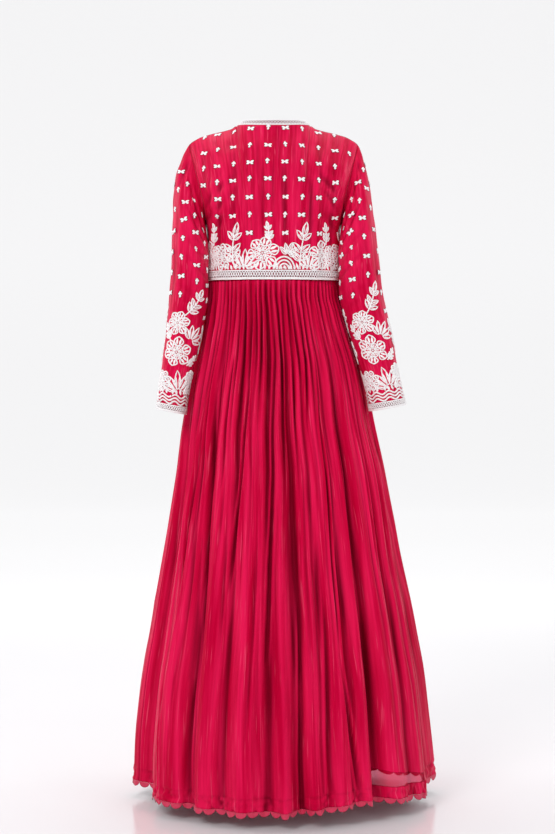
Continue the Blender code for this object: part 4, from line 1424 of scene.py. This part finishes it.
class Stitching:
    def __init__(self):
        self.points = []
        self.faces = []
        self.uvs = []

    def sheet(self, grid, uvs):
        # a patch of stitches as rows of (s, h, lift)
        start = len(self.points)
        columns = len(grid[0])
        for row, uvRow in zip(grid, uvs):
            self.points.extend(row)
            self.uvs.extend(uvRow)
        for row in range(len(grid) - 1):
            for column in range(columns - 1):
                corner = start + row * columns + column
                self.faces.append((corner, corner + 1, corner + columns + 1, corner + columns))

    def petal(self, s, h, angle, length, width, height=0.0014, point=0.8, steps=7, across=5):
        # a domed petal from its root at (s, h); a point over 1 makes its outer end the round one
        direction, sideways = aim(angle)
        grid, uvs = [], []
        for row in np.linspace(0, 1, steps):
            half = width / 2 * math.sin(math.pi * (0.04 + 0.92 * row) ** point)
            line, uvLine = [], []
            for share in np.linspace(-1, 1, across):
                spot = np.array([s, h]) + direction * length * row + sideways * half * share
                dome = height * math.sqrt(max(0.0, 1 - share**2)) * (0.35 + 0.65 * math.sin(math.pi * row))
                line.append((spot[0], spot[1], dome - stitches["sink"]))
                uvLine.append((length * row, half * share))
            grid.append(line)
            uvs.append(uvLine)
        self.sheet(grid, uvs)

    def cord(self, path, radius, loop=False, sides=4):
        path = np.array(list(path) + ([path[0]] if loop else []), float)
        run = runLength(path)
        grid, uvs = [], []
        for index, here in enumerate(path):
            before = path[index - 1] if index > 0 else (path[-2] if loop else here)
            after = path[index + 1] if index < len(path) - 1 else (path[1] if loop else here)
            direction = (after - before) / max(np.linalg.norm(after - before), 1e-9)
            sideways = np.array([-direction[1], direction[0]])
            line, uvLine = [], []
            for turn in np.linspace(0, math.pi, sides + 1):
                spot = here + sideways * radius * math.cos(turn)
                line.append((spot[0], spot[1], radius * 1.3 * math.sin(turn) - 0.0001))
                uvLine.append((run[index], radius * turn))
            grid.append(line)
            uvs.append(uvLine)
        self.sheet(grid, uvs)

    def leaf(self, s, h, angle, length, width, rim=stitches["rim"], point=0.8):
        # a corded rim round two rows of satin stitch
        direction, sideways = aim(angle)
        shares = np.linspace(0, 1, 8)
        path = []
        for side, order in ((1, shares), (-1, shares[::-1][1:-1])):
            for share in order:
                half = side * width / 2 * math.sin(math.pi * (0.04 + 0.92 * share) ** point)
                path.append(np.array([s, h]) + direction * length * share + sideways * half)
        self.cord(path, rim, loop=True)
        root = np.array([s, h]) + direction * length * 0.15
        for side in (-1, 1) if width > 0.0085 else (0,):
            start = root + sideways * side * width * 0.13
            fill = width * (0.24 if side else 0.36)
            self.petal(*start, angle + side * 0.12, length * 0.70, fill, 0.0008, steps=5, across=3)

    def bead(self, s, h, radius):
        grid = []
        for rise in np.linspace(0, math.pi / 2, 4):
            reach = radius * math.cos(rise)
            lift = radius * math.sin(rise)
            grid.append([(*around(s, h, reach, turn), lift) for turn in np.linspace(0, 2 * math.pi, 9)])
        self.sheet(grid, [[point[:2] for point in line] for line in grid])

    def ring(self, s, h, radius, rim):
        self.cord([around(s, h, radius, turn) for turn in np.linspace(0, 5.6, 9)], rim, loop=True)

    def flower(self, s, h, size, turn, petals=6):
        # two rings of corded petals round a beaded heart
        for ring, root, reach in ((0, 0.44 * size, size), (1, 0.18 * size, 0.52 * size)):
            width = 2 * math.pi * reach * (0.62 + 0.06 * ring) / petals
            for index in range(petals):
                sway = math.sin(5 * index + 7 * turn)
                angle = turn + 2 * math.pi * (index + 0.5 * ring) / petals + 0.09 * sway
                spot = around(s, h, root, angle)
                length, rim = (reach - root) * (1 + 0.14 * sway), stitches["petalRim"] - 0.0003 * ring
                self.leaf(*spot, angle, length, width, rim, point=0.95)
        for index in range(7):
            reach = 0 if index == 6 else size * 0.15
            self.bead(*around(s, h, reach, turn + math.pi * index / 3), size * 0.065)

    def rose(self, s, h, size, turn):
        # rounds of looped petals that close in on a bud
        for count, reach, radius in ((8, 0.76, 0.24), (4, 0.34, 0.20)):
            for index in range(count):
                centre = around(s, h, size * reach, turn + 2 * math.pi * (index + 0.4) / count)
                self.ring(*centre, size * radius, stitches["roseRim"])
                self.bead(*centre, size * radius * 0.42)
        self.bead(s, h, size * 0.11)

    def sprig(self, s, h, angle, length, leaf, curl, tiers=3):
        # a curved stem with tiers of leaves and one at its tip
        path = [np.array([s, h])]
        for share in np.linspace(0, 1, 9)[1:]:
            bend = angle + curl * share
            path.append(path[-1] + length / 8 * aim(bend)[0])
        self.cord(path, stitches["stem"])
        for index in range(tiers):
            share = 0.25 + 0.6 * index / max(tiers - 1, 1)
            spot = path[int(round(share * 8))]
            for side in (-1, 1):
                size = leaf * (1 - 0.25 * share)
                self.leaf(*spot, angle + curl * share + side * 0.80, size, size * 0.42)
        self.leaf(*path[-1], angle + curl, leaf * 0.95, leaf * 0.40)

    def fan(self, s, h, angle, length, leaves=5):
        # broad leaves spread from one point
        for index in range(leaves):
            bend = angle + (index - (leaves - 1) / 2) * 0.52
            reach = length * (1 - 0.10 * abs(index - (leaves - 1) / 2))
            start = around(s, h, 0.16 * length, bend)
            self.leaf(*start, bend, reach - 0.16 * length, length * 0.26)

    def arch(self, s, h, size):
        # nested half rounds
        for reach in (size, size * 0.72, size * 0.44):
            turns = np.linspace(0, math.pi, 11)
            arc = [(s + reach * math.cos(turn), h + reach * 1.15 * math.sin(turn)) for turn in turns]
            self.cord(arc, stitches["archRim"])
        self.bead(s, h + size * 0.14, size * 0.12)

    def mesh(self, name, cloth):
        spots = [cloth.at(s, h, stitches["base"] + lift)[0] for s, h, lift in self.points]
        return meshOf(name, spots, self.faces, self.uvs)


def drawGarden(stitching, blooms, shift=0.0, room=None):
    # a garden table's rows: what grows there, where, how large, which way and how curled
    for bloom in blooms:
        s = bloom["s"] + shift
        if room and not room[0] <= s < room[1]:
            continue
        turn, h, size, curl = bloom["turn"], bloom["h"], bloom["size"], bloom["curl"]
        if bloom["kind"] == "rose":
            stitching.rose(s, h, size, turn)
        elif bloom["kind"] == "flower":
            stitching.flower(s, h, size, turn)
        elif bloom["kind"] == "sprig":
            stitching.sprig(s, h, turn, size, size * 0.42, curl)
        elif bloom["kind"] == "fan":
            stitching.fan(s, h, turn, size)
        else:
            stitching.arch(s, h, size)


# A plain garden border above the waist trim, repeated all round the bodice

border = {
    "garden": table(
        "kind s h size turn curl",
        ("rose", -0.119, 0.049, 0.028, 0.3, 0.0),
        ("sprig", -0.086, 0.024, 0.070, 1.85, -0.5),
        ("fan", -0.066, 0.022, 0.043, 1.45, 0.0),
        ("flower", -0.024, 0.056, 0.035, 0.2, 0.0),
        ("sprig", -0.010, 0.078, 0.032, 1.40, 0.4),
        ("arch", 0.023, 0.022, 0.023, 0.0, 0.0),
        ("fan", 0.030, 0.050, 0.030, 1.2, 0.0),
        ("sprig", 0.058, 0.022, 0.072, 1.62, -0.3),
        ("fan", 0.076, 0.022, 0.038, 1.3, 0.0),
        ("flower", 0.111, 0.052, 0.031, 0.6, 0.0),
        ("sprig", 0.122, 0.074, 0.034, 1.35, 0.4),
    ),
    "repeat": 0.2665,
    "foot": 0.0215,
    "tuftPitch": 0.0092,
}


def makeBorder(torso, white):
    stitching = Stitching()
    girth = torso.girth(border["foot"])
    for turn in (-1, 0, 1):
        drawGarden(stitching, border["garden"], turn * border["repeat"], room=(-girth / 2, girth / 2))
    chance = np.random.default_rng(5)
    for index in range(int(girth / border["tuftPitch"])):
        s = -girth / 2 + index * border["tuftPitch"]
        angle = math.pi / 2 + chance.uniform(-0.5, 0.5)
        stitching.petal(s, border["foot"], angle, chance.uniform(0.009, 0.016), 0.0052, 0.0012)
    thing = newObject("floralBorder", stitching.mesh("floralBorder", torso))
    place(thing, "lattice", white)
    return [vertex.co.copy() for vertex in thing.data.vertices]


# Sleeve embroidery: a climbing spray above a wavy cuff border

sleeveGarden = {
    "garden": table(
        "kind s h size turn curl",
        ("sprig", 0.000, 0.208, 0.052, 0.80, 0.4),
        ("flower", -0.014, 0.190, 0.025, 0.2, 0.0),
        ("fan", 0.018, 0.156, 0.038, 1.0, 0.0),
        ("sprig", -0.024, 0.150, 0.030, 2.3, -0.3),
        ("flower", -0.006, 0.128, 0.031, 0.4, 0.0),
        ("sprig", 0.020, 0.104, 0.026, 0.5, 0.4),
        ("fan", 0.012, 0.043, 0.048, 1.75, 0.0),
        ("rose", -0.030, 0.064, 0.022, 0.0, 0.0),
        ("arch", 0.045, 0.042, 0.020, 0.0, 0.0),
        ("fan", 0.080, 0.043, 0.042, 1.45, 0.0),
        ("rose", 0.040, 0.078, 0.017, 0.6, 0.0),
        ("fan", -0.068, 0.043, 0.044, 1.65, 0.0),
        ("rose", -0.102, 0.064, 0.020, 0.1, 0.0),
        ("flower", -0.078, 0.128, 0.026, 0.9, 0.0),
        ("sprig", 0.070, 0.118, 0.056, 1.5, 0.4),
        ("sprig", -0.082, 0.158, 0.048, 1.5, -0.4),
    ),
    "waves": [0.021, 0.028, 0.035],
    "wavePitch": 0.026,
    "waveSwing": 0.0032,
    "tuftPitch": 0.0095,
    "tuft": (0.012, 0.0054, 0.0012),
}


def makeSleeveGardens(sleeves, white):
    g = sleeveGarden
    stitched = []
    for side, cloth in sleeves.items():
        stitching = Stitching()
        drawGarden(stitching, g["garden"])
        girth = cloth.girth(g["waves"][1])
        waves = round(girth / g["wavePitch"])
        for height in g["waves"]:
            turns = np.linspace(0, 1, 97)
            path = [(girth * t, height + g["waveSwing"] * math.sin(2 * math.pi * waves * t)) for t in turns]
            stitching.cord(path, stitches["waveRim"])
        for index in range(int(girth / g["tuftPitch"])):
            angle = 1.57 + 0.4 * math.sin(index)
            stitching.petal(index * g["tuftPitch"], g["waves"][-1] + 0.004, angle, *g["tuft"])
        name = "sleeveGarden" + side.capitalize()
        thing = newObject(name, stitching.mesh(name, cloth))
        place(thing, "lattice", white)
        stitched += [vertex.co.copy() for vertex in thing.data.vertices]
    return stitched


# Scattered motifs: bows and sprouts in turn

motifs = {
    "across": 0.0365,
    "down": 0.0377,
    "firstDown": -0.0134,
    "rows": 7,
    "columns": [-0.1630, -0.1310, -0.0965, -0.0602, -0.0246, 0.0121, 0.0498, 0.0850, 0.1190, 0.1495],
    "halfWidth": 0.009,
    "room": 0.0095,
    "shoulderDroop": 0.010,
    "sleeveStart": 0.098,
    "sleeveShift": 0.018,
    "shoulderRoom": 0.02,
    "frontNeckX": 0.075,
    "frontNeckZ": -0.088,
    "lift": 0.0005,
    "wobble": 0.0014,
    "size": 1.0,
    "threadHeight": 0.0017,
    "shadowHeight": 0.0003,
    "shadowWidth": 0.0008,
    # colour of the painted shadow: a dark sheet under each motif that shows round its edge
    "edge": (0.16, 0.002, 0.02, 1),
    "bow": table(
        "angle start length width up",
        (0.42, -0.0020, 0.0108, 0.0056, 0.0),
        (2.72, -0.0020, 0.0108, 0.0056, 0.0),
        (3.56, -0.0020, 0.0104, 0.0054, 0.0),
        (5.86, -0.0020, 0.0104, 0.0054, 0.0),
    ),
    "sprout": table(
        "angle start length width up",
        (0.30, -0.0010, 0.0058, 0.0048, 0.0016),
        (2.84, -0.0010, 0.0058, 0.0048, 0.0016),
        (1.57, -0.0010, 0.0070, 0.0056, 0.0014),
        (4.55, -0.0016, 0.0084, 0.0052, 0.0010),
    ),
}


def motifPiece(name, lobes, grown, height):
    stitching = Stitching()
    for lobe in lobes:
        root = lobe["start"] - grown
        s = root * math.cos(lobe["angle"])
        h = root * math.sin(lobe["angle"]) + lobe["up"]
        length, width = lobe["length"] + 2 * grown, lobe["width"] + 2 * grown
        stitching.petal(s, h, lobe["angle"], length, width, height, 1.5)
    return newObject(name, meshOf(name, stitching.points, stitching.faces, stitching.uvs))


def scatter(name, pieces, spots, finish):
    # Geometry Nodes: a bow or a sprout on each point, turned to the cloth there
    mesh = bpy.data.meshes.new(name + "Spots")
    mesh.from_pydata([tuple(spot["point"]) for spot in spots], [], [])
    turns = np.array([spot["turn"] for spot in spots], np.float32)
    mesh.attributes.new("turn", "FLOAT_VECTOR", "POINT").data.foreach_set("vector", turns.ravel())
    kinds = [spot["isBow"] for spot in spots]
    mesh.attributes.new("isBow", "BOOLEAN", "POINT").data.foreach_set("value", kinds)
    inputs = {
        "Bow": "NodeSocketObject",
        "Sprout": "NodeSocketObject",
        "Motif size": "NodeSocketFloat",
        "Finish": "NodeSocketMaterial",
    }
    tree, names, entry, result = nodeGroup(name + "Scatter", inputs)
    new = tree.nodes.new
    turn, isBow = new("GeometryNodeInputNamedAttribute"), new("GeometryNodeInputNamedAttribute")
    for node, label, kind in ((turn, "turn", "FLOAT_VECTOR"), (isBow, "isBow", "BOOLEAN")):
        node.data_type = kind
        node.inputs["Name"].default_value = label
    asRotation, notBow = new("FunctionNodeEulerToRotation"), new("FunctionNodeBooleanMath")
    notBow.operation = "NOT"
    toPoints, join = new("GeometryNodeMeshToPoints"), new("GeometryNodeJoinGeometry")
    realise, paint = new("GeometryNodeRealizeInstances"), new("GeometryNodeSetMaterial")
    wire(
        tree,
        (entry, "Geometry", toPoints, "Mesh"),
        (turn, "Attribute", asRotation, "Euler"),
        (isBow, "Attribute", notBow, 0),
    )
    for label, chooser, output in (("Bow", isBow, "Attribute"), ("Sprout", notBow, 0)):
        info, put = new("GeometryNodeObjectInfo"), new("GeometryNodeInstanceOnPoints")
        wire(
            tree,
            (entry, label, info, "Object"),
            (toPoints, "Points", put, "Points"),
            (chooser, output, put, "Selection"),
            (info, "Geometry", put, "Instance"),
            (asRotation, "Rotation", put, "Rotation"),
            (entry, "Motif size", put, "Scale"),
            (put, "Instances", join, "Geometry"),
        )
    wire(
        tree,
        (join, "Geometry", realise, "Geometry"),
        (realise, "Geometry", paint, "Geometry"),
        (entry, "Finish", paint, "Material"),
        (paint, "Geometry", result, "Geometry"),
    )
    values = {**pieces, "Motif size": motifs["size"], "Finish": finish}
    return grow(newObject(name + "Spots", mesh), name, tree, names, values)


def turnTo(normal, up):
    # turns +Z onto the normal, with +Y as near to up as it goes
    normal = Vector(normal).normalized()
    side = Vector(up).cross(normal).normalized()
    return tuple(Matrix((side, normal.cross(side), normal)).transposed().to_euler())


def bodiceSpots(panels, chance, isFree):
    m = motifs
    spots = []
    for side, panel in panels.items():
        facing = 1 if side == "back" else -1
        rows, columns = panel.shape[:2]
        corners = [row * columns + column for row in range(rows - 1) for column in range(columns - 1)]
        faces = [(corner, corner + 1, corner + columns + 1, corner + columns) for corner in corners]
        tree = BVHTree.FromPolygons([Vector(point) for point in panel.reshape(-1, 3)], faces)
        for row in range(m["rows"]):
            for index, x in enumerate(m["columns"], -1):
                droop = m["shoulderDroop"] * (abs(x) / 0.12) ** 2.2 * max(0.0, 1 - row / 7)
                z = m["firstDown"] - m["down"] * row - droop + chance.uniform(-m["wobble"], m["wobble"])
                if side == "front" and z > m["frontNeckZ"] and abs(x) < m["frontNeckX"]:
                    continue
                start = Vector((x + chance.uniform(-m["wobble"], m["wobble"]), facing, z))
                away = Vector((0, -facing, 0))
                hit, normal, _, _ = tree.ray_cast(start, away)
                aside = Vector((m["halfWidth"], 0, 0))
                beside = [tree.ray_cast(start + way * aside, away)[0] for way in (-1, 1)]
                if hit is None or None in beside or not isFree(hit):
                    continue
                normal = normal if normal.y * facing > 0 else -normal
                up = Vector((chance.uniform(-0.12, 0.12), 0, 1))
                isBow = (row + index) % 2 == 1
                point = hit + normal * m["lift"]
                spots.append({"point": point, "turn": turnTo(normal, up), "isBow": isBow})
    return spots


def sleeveSpots(sleeves, chance, isFree):
    m = motifs
    spots = []
    for cloth in sleeves.values():
        reach = cloth.heights.max() - m["shoulderRoom"]
        for row, h in enumerate(np.arange(m["sleeveStart"], reach, m["down"])):
            girth = cloth.girth(h)
            count = int(round(girth / m["across"]))
            for index in range(count):
                s = girth * index / count + m["sleeveShift"] + chance.uniform(-m["wobble"], m["wobble"])
                point, normal = cloth.at(s, h, m["lift"])
                if not isFree(Vector(point)):
                    continue
                above = cloth.at(s, h + 0.01)[0] - cloth.at(s, h)[0]
                isBow = (row + index) % 2 == 0
                spots.append({"point": point, "turn": turnTo(normal, above), "isBow": isBow})
    return spots


def makeMotifs(panels, sleeves, stitched, white):
    m = motifs
    chance = np.random.default_rng(17)
    embroidered = KDTree(len(stitched))
    for index, point in enumerate(stitched):
        embroidered.insert(point, index)
    embroidered.balance()

    def isFree(spot):
        return embroidered.find(spot)[2] > m["room"]

    spots = bodiceSpots(panels, chance, isFree) + sleeveSpots(sleeves, chance, isFree)
    shadowFinish = plainFinish("motifEdge", m["edge"], 0.7)
    # each motif lies on a dark sheet a little larger than itself, a painted shadow round its edge
    layers = (
        ("motifThreads", 0.0, m["threadHeight"], white),
        ("motifEdges", m["shadowWidth"], m["shadowHeight"], shadowFinish),
    )
    for name, grown, height, finish in layers:
        pieces = {
            "Bow": motifPiece(name + "Bow", m["bow"], grown, height),
            "Sprout": motifPiece(name + "Sprout", m["sprout"], grown, height),
        }
        place(scatter(name, pieces, spots, finish), "lattice")
        for piece in pieces.values():
            bpy.data.objects.remove(piece)
    print("motifs placed:", len(spots))


# Studio: pale floor that curves up into a backdrop, soft lights and the photo's camera

studio = {
    "cameraPlace": (0.0, 4.2, -0.488),
    "cameraAim": (-0.0087, 0.0, -0.633),
    "lens": 83.5,
    "floorZ": -1.468,
    "floorColour": (0.82, 0.815, 0.83, 1),
    "floorFront": 14.0,
    "floorSide": 24.0,
    "floorRough": 0.16,
    "wallY": -9.0,
    "wallBend": 1.6,
    "wallTop": 12.0,
    "wallRough": 0.90,
    "wallFrom": (-0.8, -5.5),
    "matteFrom": (-2.5, -6.0),
    "wallColour": (0.30, 0.297, 0.305, 1),
    "floorGlow": (0.05, 0.035, 0.04, 1),
    "wallGlow": 0.685,
    "worldColour": (0.92, 0.93, 0.95, 1),
    "worldStrength": 0.50,
    "lights": table(
        "name place size watts",
        ("keyLight", (1.7, 3.4, 1.5), 1.6, 80.0),
        ("fillLight", (-2.4, 3.0, 0.2), 2.0, 26.0),
        ("leftRim", (2.6, -0.6, 0.6), 1.4, 22.0),
        ("rightRim", (-2.6, -0.6, 0.6), 1.4, 18.0),
        ("wallLight", (0.0, -1.0, 2.4), 2.6, 58.0),
    ),
}


def lookAt(thing, target):
    thing.rotation_euler = (target - thing.location).to_track_quat("-Z", "Y").to_euler()


def makeCamera():
    camera = bpy.data.cameras.new("camera")
    camera.lens = studio["lens"]
    camera.sensor_width = 36.0
    camera.clip_end = 50.0
    eye = newObject("camera", camera)
    eye.location = studio["cameraPlace"]
    lookAt(eye, Vector(studio["cameraAim"]))
    bpy.context.scene.camera = eye


def makeLights():
    for row in studio["lights"]:
        lamp = bpy.data.lights.new(row["name"], "AREA")
        lamp.shape = "DISK"
        lamp.size = row["size"]
        lamp.energy = row["watts"]
        thing = newObject(row["name"], lamp)
        thing.location = row["place"]
        target = Vector((0, -3, 0)) if row["name"] == "wallLight" else Vector((0, 0, -0.75))
        lookAt(thing, target)
    world = bpy.data.worlds.new("studioWorld")
    world.use_nodes = True
    background = world.node_tree.nodes["Background"]
    background.inputs[0].default_value = studio["worldColour"]
    background.inputs[1].default_value = studio["worldStrength"]
    bpy.context.scene.world = world
    bpy.context.scene.view_settings.view_transform = "Standard"


def makeFloor():
    s = studio
    bend = s["wallBend"]
    start = s["wallY"] + bend
    profile = [(s["floorFront"], 0.0), (start, 0.0)]
    for turn in np.linspace(0, math.pi / 2, 13)[1:]:
        profile.append((start - bend * math.sin(turn), bend * (1 - math.cos(turn))))
    profile.append((s["wallY"], s["wallTop"]))
    edges = (-s["floorSide"], s["floorSide"])
    grid = np.array([[(x, y, s["floorZ"] + z) for x in edges] for y, z in profile])
    floor = newObject("studioFloor", gridMesh("studioFloor", grid, grid[..., :2]))
    finish = Finish("floorPaint")
    _, toCamera = finish.axes()
    onWall = finish.between(toCamera, *s["wallFrom"])
    pale = tuple(channel * 0.985 for channel in s["floorColour"][:3]) + (1,)
    ground = finish.blend(finish.noise(3.0, 3.0), s["floorColour"], pale)
    rougher = (s["wallRough"] - s["floorRough"]) * finish.between(toCamera, *s["matteFrom"])
    finish.set(
        {
            "Base Color": finish.blend(onWall, ground, s["wallColour"]),
            "Roughness": s["floorRough"] + rougher,
            "Specular IOR Level": 0.85,
            "Emission Color": finish.blend(onWall, s["floorGlow"], (1, 1, 1, 1)),
            "Emission Strength": s["wallGlow"],
        }
    )
    floor.data.materials.append(finish.material)
    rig.stage(floor)


makeCamera()
makeLights()
makeFloor()
print("studio made")
panels = makeBodice()
print("bodice made")
sleeveGrids = makeSleeves(panels)
print("sleeves made")
hems = makeSkirt()
makeHemLining()
makeScallops(hems)
print("skirt made")
torso = torsoMap(panels)
sleeveMaps = {side: sleeveMap(side, grid) for side, grid in sleeveGrids.items()}
whiteThread = threadFinish("whiteThread", (0.93, 0.91, 0.91, 1), (0.45, 0.20, 0.25, 1))
makeTrims(panels, torso, sleeveMaps, whiteThread)
makeSeams(panels)
print("trims made")
stitched = makeBorder(torso, whiteThread) + makeSleeveGardens(sleeveMaps, whiteThread)
makeMotifs(panels, sleeveMaps, stitched, whiteThread)
print("embroidery made")

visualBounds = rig.bounds()
sizes = {"cad": cadBounds, "visual": visualBounds}
with open("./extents.json", "w") as sizeFile:
    json.dump({key: [list(corner) for corner in bounds] for key, bounds in sizes.items()}, sizeFile)
